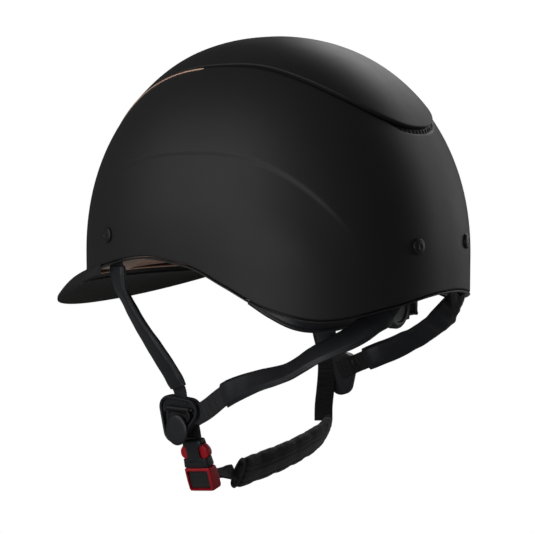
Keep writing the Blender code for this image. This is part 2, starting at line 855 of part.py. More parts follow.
def buckle(black, red):
    place = buckle_frame()
    half, thick = BUCKLE_WIDTH / 2, BUCKLE_THICKNESS / 2
    socket = box(
        "buckle_socket", (-thick, -half, 0.0003), (thick, half, SOCKET_LENGTH), black, 0.0016
    )
    cut(socket, box(
        "bay", (-0.0028, -0.0085, -0.005), (0.0028, 0.0085, SOCKET_LENGTH - 0.0016), black
    ))
    cut(socket, box("windows", (-0.0028, -0.02, 0.0065), (0.0028, 0.02, 0.0160), black))
    cut(socket, box("strap_slot", (-0.0012, -0.0074, 0.010), (0.0012, 0.0074, 0.030), black))
    plug = box(
        "buckle_plug", (-thick, -half - 0.0005, -PLUG_LENGTH), (thick, half + 0.0005, -0.0003),
        red, 0.0016,
    )
    cut(plug, box("strap_window", (-0.02, -0.0076, -0.0145), (0.02, 0.0076, -0.0050), red))
    prongs = []
    for label, side in (("front", -1), ("rear", 1)):
        outline = (
            (0.0048, 0.0003), (0.0078, 0.0003), (0.0078, 0.0068), (0.0112, 0.0076),
            (0.0114, 0.0120), (0.0082, PRONG_LENGTH), (0.0060, PRONG_LENGTH), (0.0048, 0.0130),
        )
        sections = []
        for x in (-0.0023, 0.0023):
            sections.append([Vector((x, side * a, b)) for a, b in outline])
        prongs.append(sweep(f"release_prong_{label}", sections, red))
    for item in (socket, plug, *prongs):
        item.matrix_world = place
    for prong, side in zip(prongs, (-1, 1)):
        item_hinge = Vector((0.0, side * 0.0063, 0.0010))
        prong.data.transform(Matrix.Translation(-item_hinge))
        prong.matrix_world = place @ Matrix.Translation(item_hinge)
    return socket, plug, prongs


def strap_keeper(finish):
    """A small ring that holds the strap's spare end, round the socket's strap."""
    facing = ((0, (1, 0, 0)), (1, (1, 0, 0)))
    span = (0.36, 0.60)
    outer = strap_sections(SOCKET_LINE, facing, span, 2, WEBBING_WIDTH + 0.0036, 0.0042)
    inner = strap_sections(SOCKET_LINE, facing, span, 2, WEBBING_WIDTH + 0.0012, 0.0026)
    return tube("strap_keeper", outer, inner, finish)


# --- Nape adjuster ----------------------------------------------------------


def gear(name, centre, radius, teeth, depth, width, finish):
    """A small toothed wheel on a +Y axis, with one tooth straight up."""
    outline = []
    pitch = math.tau / teeth
    for i in range(teeth):
        middle = math.pi / 2 + i * pitch
        for offset, reach in ((-0.20, -depth), (-0.09, depth / 2), (0.09, depth / 2), (0.20, -depth)):
            turn = middle + offset * pitch
            outline.append(((radius + reach) * math.cos(turn), (radius + reach) * math.sin(turn)))
    sections = []
    for y in (-width / 2, width / 2):
        sections.append([centre + Vector((a, y, b)) for a, b in outline])
    return sweep(name, sections, finish)


def rack(name, side, finish):
    """A toothed bar: side +1 runs over the pinion, -1 under it."""
    pitch = math.tau * PINION_RADIUS / PINION_TEETH
    tips = PINION_RADIUS - 0.0002
    root = tips + RACK_TOOTH + 0.0003
    back = root + 0.0014
    outline = [(-0.0200, back), (-0.0200, root)]
    first = -7
    for i in range(first, -first):
        middle = (i + 0.5) * pitch
        outline += [
            (middle - 0.18 * pitch, root), (middle - 0.08 * pitch, tips),
            (middle + 0.08 * pitch, tips), (middle + 0.18 * pitch, root),
        ]
    outline += [(0.0200, root), (0.0200, back)]
    sections = []
    for y in (-0.0016, 0.0016):
        sections.append([
            DIAL_CENTRE + Vector((a * side, y, b * side)) for a, b in outline
        ])
    return sweep(name, sections, finish)


def nape_adjuster(black, grey, foam):
    centre = DIAL_CENTRE
    case = box(
        "dial_case", centre + Vector((-CASE_WIDTH / 2, -0.0038, -0.0115)),
        centre + Vector((CASE_WIDTH / 2, 0.0038, 0.0115)), black, 0.0012,
    )
    cut(case, box(
        "rack_bay", centre + Vector((-0.08, -0.0022, -0.0074)),
        centre + Vector((0.08, 0.0022, 0.0074)), black,
    ))
    cut(case, rod("shaft_hole", 0.0035, 0.03, black, centre + Vector((0, 0.015, 0)), (0, 1, 0)))
    pinion = gear(
        "dial_pinion", centre, PINION_RADIUS, PINION_TEETH, RACK_TOOTH, 0.0034, grey
    )
    knob = turned(
        "dial_knob",
        (
            (0, 0.0022), (0.0028, 0.0022), (0.0028, 0.0044), (DIAL_RADIUS, 0.0044),
            (DIAL_RADIUS, 0.0110), (DIAL_RADIUS - 0.0012, 0.0122), (0.0100, 0.0122),
            (0.0090, 0.0112), (0, 0.0112),
        ),
        black, centre, (0, 1, 0), 32,
    )
    racks = [rack("left_rack", 1, grey), rack("right_rack", -1, grey)]
    for item in (pinion, knob, *racks):
        if item.location.length == 0:
            move_origin(item, centre)
    pad = box(
        "nape_pad", centre + Vector((-0.028, -0.0100, -0.0120)),
        centre + Vector((0.028, -0.0042, 0.0120)), foam, 0.0025,
    )
    arms = []
    for label, side in (("left", 1), ("right", -1)):
        route = [
            (side * 0.0309, 0.0890, -0.0190), (side * 0.0450, 0.0878, -0.0194),
            (side * 0.0620, 0.0800, -0.0215), (side * 0.0740, 0.0680, -0.0200),
            (side * 0.0800, 0.0530, -0.0130), (side * 0.0815, 0.0380, -0.0050),
        ]
        facing = ((0, (0.05 * side, 1, 0)), (1, (side, 0.15, 0)))
        sections = strap_sections(route, facing, (0, 1), 12, 0.0190, 0.0026)
        arms.append(sweep(f"cradle_arm_{label}", sections, black))
    for item in (case, pad, *arms):
        move_origin(item, CRADLE_TILT_PLACE)


# --- The whole helmet -------------------------------------------------------


def main():
    clear_scene()
    shell_black = finish_of("shell", (0.028, 0.027, 0.030), 0.45)
    trim_black = finish_of("rim_edge", (0.02, 0.02, 0.022), 0.35)
    rose_gold = finish_of("rose_gold", (0.74, 0.46, 0.34), 0.28, 1.0)
    nude = finish_of("headband_leather", (0.72, 0.48, 0.38), 0.5)
    foam = finish_of("impact_foam", (0.03, 0.03, 0.03), 0.9)
    comfort = finish_of("comfort_fabric", (0.03, 0.03, 0.035), 0.95)
    lining = finish_of("peak_fabric", (0.08, 0.07, 0.065), 0.8)
    leather = finish_of("strap_leather", (0.03, 0.032, 0.04), 0.5)
    webbing = finish_of("webbing", (0.018, 0.018, 0.022), 0.8)
    plastic = finish_of("black_plastic", (0.03, 0.03, 0.035), 0.4)
    red = finish_of("red_plastic", (0.62, 0.02, 0.04), 0.35)
    steel = finish_of("steel", (0.5, 0.5, 0.52), 0.3, 1.0)
    quilt = finish_of("chin_fabric", (0.02, 0.02, 0.022), 0.9)
    nylon = finish_of("grey_nylon", (0.12, 0.12, 0.13), 0.5)

    outer_shell(shell_black)
    crown_panel(shell_black)
    vent_grille(plastic)
    for label, side in (("left", 1), ("right", -1)):
        edge_strip(
            f"accent_{label}", side, PANEL_FRONT_DEG + 2, 82.0, 0.0012, 0.0028,
            0.0006, 0.0015, 20, rose_gold,
        )
    rim_trim(trim_black)
    impact_liner(foam)
    comfort_liner(comfort)
    headband("headband_front", -97.0, 97.0, 36, nude)
    headband("headband_rear", 118.0, 242.0, 22, nude)
    peak(shell_black)
    peak_lining(lining)
    brow_trim(rose_gold)

    for place, degrees, z in (
        ("front_left", FRONT_RIVET_DEG, FRONT_RIVET_Z), ("front_right", -FRONT_RIVET_DEG, FRONT_RIVET_Z),
        ("rear_left", REAR_RIVET_DEG, REAR_RIVET_Z), ("rear_right", -REAR_RIVET_DEG, REAR_RIVET_Z),
    ):
        rivet(f"rivet_{place}", degrees, z, trim_black)
        washer(f"washer_{place}", degrees, z, steel)

    front, rear = FRONT_INSIDE, REAR_INSIDE
    left_front = inside_facing(front, (0.0, 0.08, 0.20), [(0.45, (0.8, -0.6, 0)), (1, (1, -0.3, 0))])
    right_front = inside_facing(mirrored(front), (0.0, 0.08, 0.20), [(1, (-1, 0, 0))])
    rear_shares = (0.0, 0.07, 0.15, 0.22, 0.29, 0.36)
    left_rear = inside_facing(
        rear[:4], rear_shares, [(0.33, (0.5, 0.4, 0.75)), (0.60, (0.6, 0, 0.8)), (1, (1, 0, 0.1))]
    )
    right_rear = inside_facing(
        REAR_RIGHT_INSIDE, rear_shares, [(0.60, (-0.65, 0, 0.75)), (1, (-1, 0, 0.1))]
    )
    harness = (
        ("front_left", route_of(front, FRONT_LEFT_FREE), left_front, (4, 19)),
        ("front_right", route_of(mirrored(front), FRONT_RIGHT_FREE), right_front, (4, 18)),
        ("rear_left", route_of(rear, REAR_LEFT_FREE), left_rear, (5, 18)),
        ("rear_right", route_of(REAR_RIGHT_INSIDE, REAR_RIGHT_FREE), right_rear, (5, 19)),
    )
    for place, route, facing, (first, last) in harness:
        strap(
            f"webbing_{place}", route, facing, (0, 1), STRAP_STEPS, WEBBING_WIDTH,
            WEBBING_THICKNESS, webbing,
        )
        span = (first / STRAP_STEPS, last / STRAP_STEPS)
        sleeve(f"sleeve_{place}", route, facing, span, last - first, leather)
    divider("left", DIVIDER_LEFT_CENTRE, 1, plastic, shell_black, steel)
    divider("right", DIVIDER_RIGHT_CENTRE, -1, plastic, shell_black, steel)
    strap(
        "webbing_to_socket", SOCKET_LINE, ((0, (1, 0, 0)), (1, (1, 0, 0))), (0, 1), 6,
        WEBBING_WIDTH, WEBBING_THICKNESS, webbing,
    )
    strap_keeper(plastic)
    buckle(plastic, red)
    strap(
        "chin_webbing_near", CHIN_NEAR_LINE, ((0, (0.2, 0, 1)), (1, (0, 0.2, 1))), (0, 1), 10,
        WEBBING_WIDTH, WEBBING_THICKNESS, webbing,
    )
    strap(
        "chin_webbing_far", CHIN_FAR_LINE, ((0, (-1, 0, 0)), (1, (-0.85, -0.4, -0.4))), (0, 1), 10,
        WEBBING_WIDTH, WEBBING_THICKNESS, webbing,
    )
    strap(
        "chin_pad", PAD_LINE, ((0, (0.12, 0.62, -0.33)), (1, (0, 0.62, -0.33))), (0, 1), 14,
        PAD_WIDTH, PAD_DEPTH, quilt,
    )
    nape_adjuster(plastic, nylon, quilt)


main()
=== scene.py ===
"""Looks of the riding helmet: fine shell, harness, buckle, padding and materials
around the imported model, with a plain studio. Metres, +Z up, the wearer faces -Y."""

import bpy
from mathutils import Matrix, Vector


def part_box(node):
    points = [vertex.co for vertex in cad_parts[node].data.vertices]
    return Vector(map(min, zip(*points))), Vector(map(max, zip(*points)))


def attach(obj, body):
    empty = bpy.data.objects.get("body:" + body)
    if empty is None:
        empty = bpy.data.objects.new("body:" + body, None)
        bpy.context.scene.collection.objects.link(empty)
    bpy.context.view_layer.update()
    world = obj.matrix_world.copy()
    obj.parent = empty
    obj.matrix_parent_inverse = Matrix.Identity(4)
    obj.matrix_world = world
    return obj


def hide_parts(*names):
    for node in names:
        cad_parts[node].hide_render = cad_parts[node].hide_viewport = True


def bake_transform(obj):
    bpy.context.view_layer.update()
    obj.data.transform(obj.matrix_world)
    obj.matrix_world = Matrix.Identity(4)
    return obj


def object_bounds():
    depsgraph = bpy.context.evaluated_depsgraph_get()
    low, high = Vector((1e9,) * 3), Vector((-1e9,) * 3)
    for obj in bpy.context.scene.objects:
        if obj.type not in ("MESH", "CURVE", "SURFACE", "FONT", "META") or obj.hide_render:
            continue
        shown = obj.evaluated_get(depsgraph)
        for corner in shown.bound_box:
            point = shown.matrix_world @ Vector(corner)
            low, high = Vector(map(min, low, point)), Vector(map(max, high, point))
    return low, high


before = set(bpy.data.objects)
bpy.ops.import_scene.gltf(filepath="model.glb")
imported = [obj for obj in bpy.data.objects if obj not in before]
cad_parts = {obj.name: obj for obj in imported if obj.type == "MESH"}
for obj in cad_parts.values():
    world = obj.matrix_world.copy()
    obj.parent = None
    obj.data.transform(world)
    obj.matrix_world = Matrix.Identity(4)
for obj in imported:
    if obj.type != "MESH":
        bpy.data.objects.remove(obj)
cad_box = [list(corner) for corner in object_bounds()]

import math

import bmesh
import bpy
import numpy as np
from mathutils import Matrix, Vector

MM = 0.001

# Dome of the shell: a superellipsoid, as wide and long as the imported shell.
DOME_BASE = 0.013
PLAN_POWER = 2.5
PROFILE_POWER = 2.12
HALF_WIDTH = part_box("outer_shell")[1].x
HALF_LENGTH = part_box("outer_shell")[1].y
DOME_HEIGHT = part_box("outer_shell")[1].z - DOME_BASE
SHELL_WALL = 0.0025
CENTRE = np.array((0.0, 0.0, DOME_BASE))
RIM_LINE = (
    (0, 0.0), (38, 0.0005), (56, 0.0065), (80, 0.017), (90, 0.0138), (100, 0.0015),
    (112, -0.012), (130, -0.0193), (155, -0.0118), (180, -0.0056),
)

# Raised centre panel.
PANEL_HALF_WIDTH = 0.061
PANEL_FRONT_DEG = 16.0
PANEL_WIDEST_DEG = 108.5
PANEL_REAR_DEG = 145.1
PANEL_CORNER_POWER = 2.4
PANEL_FRONT_TAPER = 0.022
COLUMNS = 640

# Liner
CAVITY_HALF_LENGTH = 0.107
CAVITY_HALF_WIDTH = 0.087
CAVITY_TOP = 0.140
LINER_REAR_EDGE = 0.006
HEADBAND_DROP = 0.0035
TEMPLE_HANG = 0.0075
TEMPLE_START_DEG = 62.0
TEMPLE_SPAN_DEG = 22.0
TEMPLE_END_DEG = 100.0

# Peak
PEAK_HALF_WIDTH = 0.100
PEAK_REACH = 0.096
PEAK_START_Y = -0.078
PEAK_SIDE_HEIGHT = 0.0020
PEAK_DROP = 0.0345
PEAK_END_DEG = 61.0
PEAK_EDGE = 0.0024
PEAK_ROOT = 0.0075
PEAK_ROOT_LOW = -0.0112

# Harness
SLEEVE_WIDTH = 0.0180
SLEEVE_THICKNESS = 0.0044
WEBBING_WIDTH = 0.0140
WEBBING_THICKNESS = 0.0016
STRAP_STEPS = 20
RIVET_RADIUS = 0.0052
RIVET_STAND_OFF = 0.0006
FRONT_RIVET = (64.6, 0.0296)
REAR_RIVET = (167.0, 0.0255)

# Straps run from the rivets down inside the shell, then freely. A stretch inside
# the shell is (angle, height, inset); a free stretch is plain points.
FRONT_INSIDE = ((64.6, 0.033, 0.0044), (64.6, 0.022, 0.0046), (64.8, 0.010, 0.0064))
REAR_INSIDE = (
    (167.0, 0.032, 0.0044), (166.0, 0.016, 0.0046), (162.5, 0.000, 0.0062),
    (157.0, -0.0130, 0.0066), (150.0, -0.0215, 0.0070), (142.0, -0.0308, 0.0078),
)
REAR_RIGHT_INSIDE = (
    (-167.0, 0.032, 0.0044), (-166.0, 0.018, 0.0046), (-161.0, 0.003, 0.0064),
    (-154.0, -0.0105, 0.0068), (-146.5, -0.0175, 0.0072), (-140.0, -0.0235, 0.0078),
)
FRONT_LEFT_FREE = (
    (0.0950, -0.0650, -0.0050), (0.0915, -0.0605, -0.0175), (0.0885, -0.0525, -0.0325),
    (0.0850, -0.0425, -0.0480), (0.0810, -0.0335, -0.0630), (0.0785, -0.0285, -0.0730),
    (0.0775, -0.0268, -0.0780),
)
FRONT_RIGHT_FREE = (
    (-0.0960, -0.0530, -0.0080), (-0.0950, -0.0350, -0.0260), (-0.0925, -0.0210, -0.0440),
    (-0.0910, -0.0150, -0.0580), (-0.0905, -0.0125, -0.0670),
)
REAR_LEFT_FREE = (
    (0.0810, 0.0860, -0.0422), (0.0825, 0.0650, -0.0552), (0.0815, 0.0400, -0.0640),
    (0.0790, 0.0150, -0.0745), (0.0775, -0.0010, -0.0855), (0.0775, -0.0060, -0.0890),
)
REAR_RIGHT_FREE = (
    (-0.0830, 0.0920, -0.0330), (-0.0920, 0.0720, -0.0470), (-0.0945, 0.0480, -0.0600),
    (-0.0930, 0.0280, -0.0690), (-0.0920, 0.0160, -0.0745),
)
SOCKET_LINE = (
    (0.0715, -0.0250, -0.0860), (0.0712, -0.0242, -0.0950), (0.0698, -0.0232, -0.1030),
    (0.0685, -0.0226, -0.1110),
)
CHIN_FAR_LINE = (
    (-0.0868, -0.0110, -0.0780), (-0.0855, -0.0105, -0.0880), (-0.0805, -0.0085, -0.0985),
    (-0.0745, -0.0060, -0.1085), (-0.0695, -0.0030, -0.1185),
)
CHIN_NEAR_LINE = (
    (0.0656, -0.0190, -0.1412), (0.0568, -0.0185, -0.1396), (0.0500, -0.0145, -0.1382),
    (0.0450, -0.0105, -0.1382), (0.0395, -0.0080, -0.1388),
)
PAD_LINE = (
    (0.0370, -0.0070, -0.1395), (0.0200, -0.0045, -0.1385), (-0.0050, 0.0020, -0.1345),
    (-0.0280, 0.0050, -0.1305), (-0.0480, 0.0045, -0.1270), (-0.0650, 0.0000, -0.1240),
)
BUCKLE_JOIN = Vector((0.0645, -0.0203, -0.1312))
BUCKLE_AXIS = Vector((-0.184, 0.131, -0.974)).normalized()
DIVIDER_CENTRES = {
    "left": Vector((0.0737, -0.0270, -0.0970)),
    "right": Vector((-0.0885, -0.0040, -0.0850)),
}
DIAL_CENTRE = Vector((0.0, 0.0890, -0.0190))


# --- Node materials ---------------------------------------------------------


class Look:
    """A Principled material with a few procedural layers, built step by step."""

    def __init__(self, name, colour, roughness, **sockets):
        self.material = bpy.data.materials.new(name)
        self.material.use_nodes = True
        self.tree = self.material.node_tree
        self.shader = self.tree.nodes["Principled BSDF"]
        self.colour = (*colour, 1.0)
        self.shader.inputs["Base Color"].default_value = self.colour
        self.shader.inputs["Roughness"].default_value = roughness
        for socket, value in sockets.items():
            self.shader.inputs[socket.replace("_", " ")].default_value = value
        self.bump = None

    def node(self, kind, **settings):
        made = self.tree.nodes.new("ShaderNode" + kind)
        for name, value in settings.items():
            if name in made.inputs:
                made.inputs[name].default_value = value
            else:
                setattr(made, name, value)
        return made

    def link(self, source, target):
        self.tree.links.new(source, target)

    def place(self, by="Object", scale=(1, 1, 1), turn=0.0):
        coordinates = self.node("TexCoord")
        mapping = self.node("Mapping")
        mapping.inputs["Scale"].default_value = scale
        mapping.inputs["Rotation"].default_value = (0, 0, turn)
        self.link(coordinates.outputs[by], mapping.inputs["Vector"])
        return mapping.outputs["Vector"]

    def noise(self, scale, detail=3.0, by="Object", stretch=(1, 1, 1)):
        made = self.node("TexNoise", Scale=scale, Detail=detail)
        self.link(self.place(by, stretch), made.inputs["Vector"])
        return made.outputs["Fac"]

    def cells(self, scale, feature="F1", by="Object", stretch=(1, 1, 1)):
        made = self.node("TexVoronoi", feature=feature)
        made.inputs["Scale"].default_value = scale
        self.link(self.place(by, stretch), made.inputs["Vector"])
        return made.outputs["Distance"]

    def waves(self, scale, direction="X", by="UV", distortion=0.0, turn=0.0):
        made = self.node("TexWave", bands_direction=direction)
        made.inputs["Scale"].default_value = scale
        made.inputs["Distortion"].default_value = distortion
        made.inputs["Detail"].default_value = 0.0
        self.link(self.place(by, turn=turn), made.inputs["Vector"])
        return made.outputs["Fac"]

    def levels(self, factor, low, high, start=0.0, end=1.0):
        """Maps a 0 to 1 pattern onto low to high."""
        made = self.node("MapRange")
        for name, value in zip(("From Min", "From Max", "To Min", "To Max"), (start, end, low, high)):
            made.inputs[name].default_value = value
        self.link(factor, made.inputs["Value"])
        return made.outputs["Result"]

    def times(self, first, second):
        made = self.node("Math", operation="MULTIPLY")
        self.link(first, made.inputs[0])
        self.link(second, made.inputs[1])
        return made.outputs[0]

    def tint(self, factor, dark, light):
        """Mixes the base colour between two shades of itself by a pattern."""
        ramp = self.node("ValToRGB")
        ramp.color_ramp.elements[0].color = (*[c * dark for c in self.colour[:3]], 1.0)
        ramp.color_ramp.elements[1].color = (*[min(c * light, 1.0) for c in self.colour[:3]], 1.0)
        self.link(factor, ramp.inputs["Fac"])
        self.link(ramp.outputs["Color"], self.shader.inputs["Base Color"])

    def roughen(self, factor, low, high):
        self.link(self.levels(factor, low, high), self.shader.inputs["Roughness"])

    def raise_by(self, height, distance, strength=1.0):
        """Adds a bump of a real height in metres on top of those before it."""
        made = self.node("Bump")
        made.inputs["Strength"].default_value = strength
        made.inputs["Distance"].default_value = distance
        self.link(height, made.inputs["Height"])
        if self.bump:
            self.link(self.bump.outputs["Normal"], made.inputs["Normal"])
        self.bump = made
        self.link(made.outputs["Normal"], self.shader.inputs["Normal"])


def soft_touch():
    look = Look("soft_touch_shell", (0.021, 0.021, 0.0225), 0.5, Specular_IOR_Level=0.42)
    look.tint(look.noise(35, 4), 0.92, 1.08)
    look.roughen(look.noise(140, 4), 0.47, 0.55)
    look.raise_by(look.noise(2600, 2), 0.00003, 0.25)
    return look.material


def trim_rubber():
    look = Look("trim_rubber", (0.014, 0.014, 0.016), 0.5)
    look.tint(look.noise(60, 3), 0.85, 1.15)
    look.roughen(look.noise(300, 3), 0.36, 0.48)
    look.raise_by(look.noise(1800, 2), 0.00003, 0.3)
    return look.material


def rose_gold():
    look = Look("rose_gold", (0.95, 0.60, 0.45), 0.34, Metallic=0.3)
    look.tint(look.noise(90, 3), 0.94, 1.06)
    look.roughen(look.noise(500, 3, stretch=(1, 8, 1)), 0.26, 0.38)
    look.raise_by(look.noise(2500, 2), 0.00002, 0.2)
    return look.material


def leatherette(name, colour, roughness, grain=1250):
    look = Look(name, colour, roughness, Specular_IOR_Level=0.5)
    pores = look.cells(grain)
    look.tint(look.noise(120, 5), 0.85, 1.2)
    look.roughen(look.noise(400, 4), roughness - 0.06, roughness + 0.08)
    look.raise_by(look.noise(220, 3), 0.0002, 0.25)
    look.raise_by(pores, 0.00009, 0.5)
    return look.material


def knit(name, colour, pitch=900, sheen=0.25):
    """Mesh fabric: rows of small round holes in a woven ground."""
    look = Look(name, colour, 0.85, Sheen_Weight=sheen, Sheen_Roughness=0.5)
    holes = look.cells(pitch, stretch=(1, 1, 1.25))
    look.tint(look.levels(holes, 1.0, 0.0, 0.15, 0.75), 0.45, 1.35)
    look.raise_by(look.levels(holes, 1.0, 0.0, 0.1, 0.7), 0.00025, 0.6)
    look.raise_by(look.noise(2500, 2), 0.00008, 0.4)
    return look.material


def foam_beads():
    look = Look("foam_beads", (0.022, 0.022, 0.024), 0.8)
    beads = look.cells(330)
    look.tint(look.levels(beads, 1.0, 0.0), 0.6, 1.3)
    look.roughen(look.noise(200, 3), 0.7, 0.9)
    look.raise_by(look.levels(beads, 1.0, 0.0), 0.0006, 0.6)
    return look.material


def ribbed_webbing(name="ribbed_webbing", colour=(0.014, 0.0145, 0.018)):
    """Webbing woven in fine cross ribs, on strips whose UV is in metres."""
    look = Look(name, colour, 0.62, Sheen_Weight=0.25, Sheen_Roughness=0.4)
    threads = look.waves(420, "Y")
    ribs = look.waves(300, "X")
    woven = look.times(threads, ribs)
    look.tint(look.levels(woven, 0.0, 1.0, 0.05, 0.8), 0.55, 1.5)
    look.raise_by(ribs, 0.00018, 0.5)
    look.raise_by(threads, 0.0001, 0.4)
    return look.material


def moulded(name, colour, roughness, grain=900):
    look = Look(name, colour, roughness, Specular_IOR_Level=0.5)
    look.tint(look.noise(80, 4), 0.88, 1.12)
    look.roughen(look.noise(350, 4), roughness - 0.05, roughness + 0.07)
    look.raise_by(look.noise(grain, 2), 0.00004, 0.35)
    return look.material


def brushed_steel():
    look = Look("brushed_steel", (0.5, 0.5, 0.52), 0.3, Metallic=1.0)
    look.roughen(look.noise(900, 3, stretch=(1, 12, 1)), 0.24, 0.42)
    look.tint(look.noise(200, 3), 0.85, 1.1)
    return look.material


SHELL = soft_touch()
TRIM = trim_rubber()
GOLD = rose_gold()
NUDE = leatherette("nude_leatherette", (0.86, 0.56, 0.43), 0.5, 900)
FOAM = foam_beads()
COMFORT = knit("comfort_knit", (0.024, 0.024, 0.028), 700)
PEAK_CLOTH = knit("peak_cloth", (0.026, 0.023, 0.021), 1500, 0.08)
LEATHER = leatherette("strap_leatherette", (0.016, 0.0175, 0.023), 0.44)
WEBBING = ribbed_webbing()
BLACK = moulded("satin_black", (0.021, 0.0225, 0.027), 0.38)
DARK = moulded("deep_black", (0.008, 0.008, 0.010), 0.55)
RED = moulded("red_plastic", (0.60, 0.012, 0.026), 0.34)
QUILT = knit("quilted_mesh", (0.013, 0.013, 0.015), 1050, 0.3)
PIPING = ribbed_webbing("piping", (0.035, 0.036, 0.040))
NYLON = moulded("grey_nylon", (0.10, 0.10, 0.11), 0.45)
STEEL = brushed_steel()
THREAD = moulded("thread", (0.030, 0.031, 0.036), 0.6)


# --- Mesh helpers -----------------------------------------------------------


def shaded(name, points, faces, material, sharp=40.0, uvs=None):
    mesh = bpy.data.meshes.new(name)
    mesh.from_pydata([tuple(map(float, p)) for p in points], [], faces)
    if uvs is not None:
        layer = mesh.uv_layers.new(name="UVMap")
        layer.data.foreach_set("uv", np.asarray(uvs, np.float32).ravel())
    mesh.shade_smooth()
    mesh.set_sharp_from_angle(angle=math.radians(sharp))
    mesh.materials.append(material)
    made = bpy.data.objects.new(name, mesh)
    bpy.context.collection.objects.link(made)
    return made


def loft(name, rings, material, closed=False, caps=True, sharp=40.0):
    """A surface through rings of equally many points, with a UV in metres."""
    rings = np.asarray(rings, float)
    rows, count = rings.shape[:2]
    steps = np.linalg.norm(np.diff(rings, axis=0), axis=2).mean(axis=1)
    along = np.concatenate([[0.0], np.cumsum(steps)])
    middle = rings[rows // 2]
    around = np.concatenate([[0.0], np.cumsum(np.linalg.norm(np.roll(middle, -1, 0) - middle, axis=1))])
    faces, uvs = [], []
    for i in range(rows if closed else rows - 1):
        a, b = i * count, ((i + 1) % rows) * count
        u, v = along[i], along[i] + (steps[i] if i < rows - 1 else steps[-1])
        for j in range(count):
            k = (j + 1) % count
            faces.append((a + j, a + k, b + k, b + j))
            uvs += [(u, around[j]), (u, around[j + 1]), (v, around[j + 1]), (v, around[j])]
    if caps and not closed:
        for start in (0, (rows - 1) * count):
            faces.append(tuple(range(start, start + count)))
            uvs += [(along[0], around[j]) for j in range(count)]
    made = shaded(name, rings.reshape(-1, 3), faces, material, sharp, uvs)
    return outward(made)


def outward(item):
    work = bmesh.new()
    work.from_mesh(item.data)
    bmesh.ops.recalc_face_normals(work, faces=work.faces)
    work.to_mesh(item.data)
    work.free()
    return item


def settle(item, body, slot, *nodes):
    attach(item, body)
    if nodes:
        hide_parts(*nodes)
    return item


def eased(line, at):
    """A smooth height at a place, through a short list of (place, height) pairs."""
    for (a, low), (b, high) in zip(line[:-1], line[1:]):
        if at <= b:
            share = (at - a) / (b - a)
            i = line.index((a, low))
            before = line[max(i - 1, 0)]
            after = line[min(i + 2, len(line) - 1)]
            slope_a = (high - before[1]) / max(b - before[0], 1e-9) if i else 0.0
            slope_b = (after[1] - low) / max(after[0] - a, 1e-9)
            if i + 2 >= len(line):
                slope_b = 0.0
            span = b - a
            s2, s3 = share**2, share**3
            return (
                (2 * s3 - 3 * s2 + 1) * low
                + (s3 - 2 * s2 + share) * span * slope_a
                + (3 * s2 - 2 * s3) * high
                + (s3 - s2) * span * slope_b
            )
    return line[-1][1]


def rim_height(degrees):
    return eased(RIM_LINE, abs((degrees + 180.0) % 360.0 - 180.0))


def power(value, exponent):
    return math.copysign(abs(value) ** exponent, value)


def plan(degrees, half_width, half_length):
    turn = math.radians(degrees)
    x = half_width * power(math.sin(turn), 2 / PLAN_POWER)
    y = -half_length * power(math.cos(turn), 2 / PLAN_POWER)
    return x, y


def shrink_at(z, height):
    rise = min(max((z - DOME_BASE) / height, 0.0), 1.0)
    return (1 - rise**PROFILE_POWER) ** (1 / PROFILE_POWER)


def shell_wall(degrees, z, inset):
    """A point on the shell at a height, inset from its outer surface."""
    closed = shrink_at(z, DOME_HEIGHT - inset)
    x, y = plan(degrees, HALF_WIDTH - inset, HALF_LENGTH - inset)
    return Vector((x * closed, y * closed, z))


def shell_normal(degrees, z):
    here = shell_wall(degrees, z, 0.0)
    side = shell_wall(degrees + 1, z, 0.0) - here
    rise = shell_wall(degrees, z + 0.002, 0.0) - here
    out = side.cross(rise).normalized()
    return out if out.dot(Vector((here.x, here.y, 0))) > 0 else -out


def unit(vectors):
    return vectors / np.linalg.norm(vectors, axis=-1, keepdims=True)


def smooth(value, low, high):
    t = np.clip((np.asarray(value, float) - low) / (high - low), 0, 1)
    return t * t * (3 - 2 * t)


def on_dome(directions, rise=0.0):
    """Points and normals where directions from the dome's centre meet it, moved
    along the normal by rise."""
    d = unit(np.asarray(directions, float))
    size = np.array((HALF_WIDTH, HALF_LENGTH, DOME_HEIGHT))
    share = np.abs(d) / size
    share[..., 2] *= d[..., 2] > 0
    across = share[..., 0] ** PLAN_POWER + share[..., 1] ** PLAN_POWER + 1e-12
    ratio = PROFILE_POWER / PLAN_POWER
    reach = (across**ratio + share[..., 2] ** PROFILE_POWER) ** (-1 / PROFILE_POWER)
    scale = across ** (ratio - 1)
    normal = np.stack([
        scale * share[..., 0] ** (PLAN_POWER - 1) * np.sign(d[..., 0]) / size[0],
        scale * share[..., 1] ** (PLAN_POWER - 1) * np.sign(d[..., 1]) / size[1],
        share[..., 2] ** (PROFILE_POWER - 1) / size[2],
    ], axis=-1)
    normal = unit(normal)
    points = CENTRE + d * reach[..., None] + normal * np.asarray(rise)[..., None]
    return points, normal


def crown_point(x, lift_deg):
    """A point on the dome by its distance from the middle plane and its lift angle
    from the front over the crown."""
    turn = math.radians(lift_deg)
    low, high = 0.0, 1.2
    for _ in range(40):
        reach = (low + high) / 2
        across = abs(x / HALF_WIDTH) ** PLAN_POWER
        along = abs(reach * math.cos(turn)) ** PLAN_POWER
        up = max(reach * math.sin(turn), 0.0) ** PROFILE_POWER
        if (across + along) ** (PROFILE_POWER / PLAN_POWER) + up < 1:
            low = reach
        else:
            high = reach
    y = -HALF_LENGTH * low * math.cos(turn)
    return np.array((x, y, DOME_BASE + DOME_HEIGHT * low * math.sin(turn)))


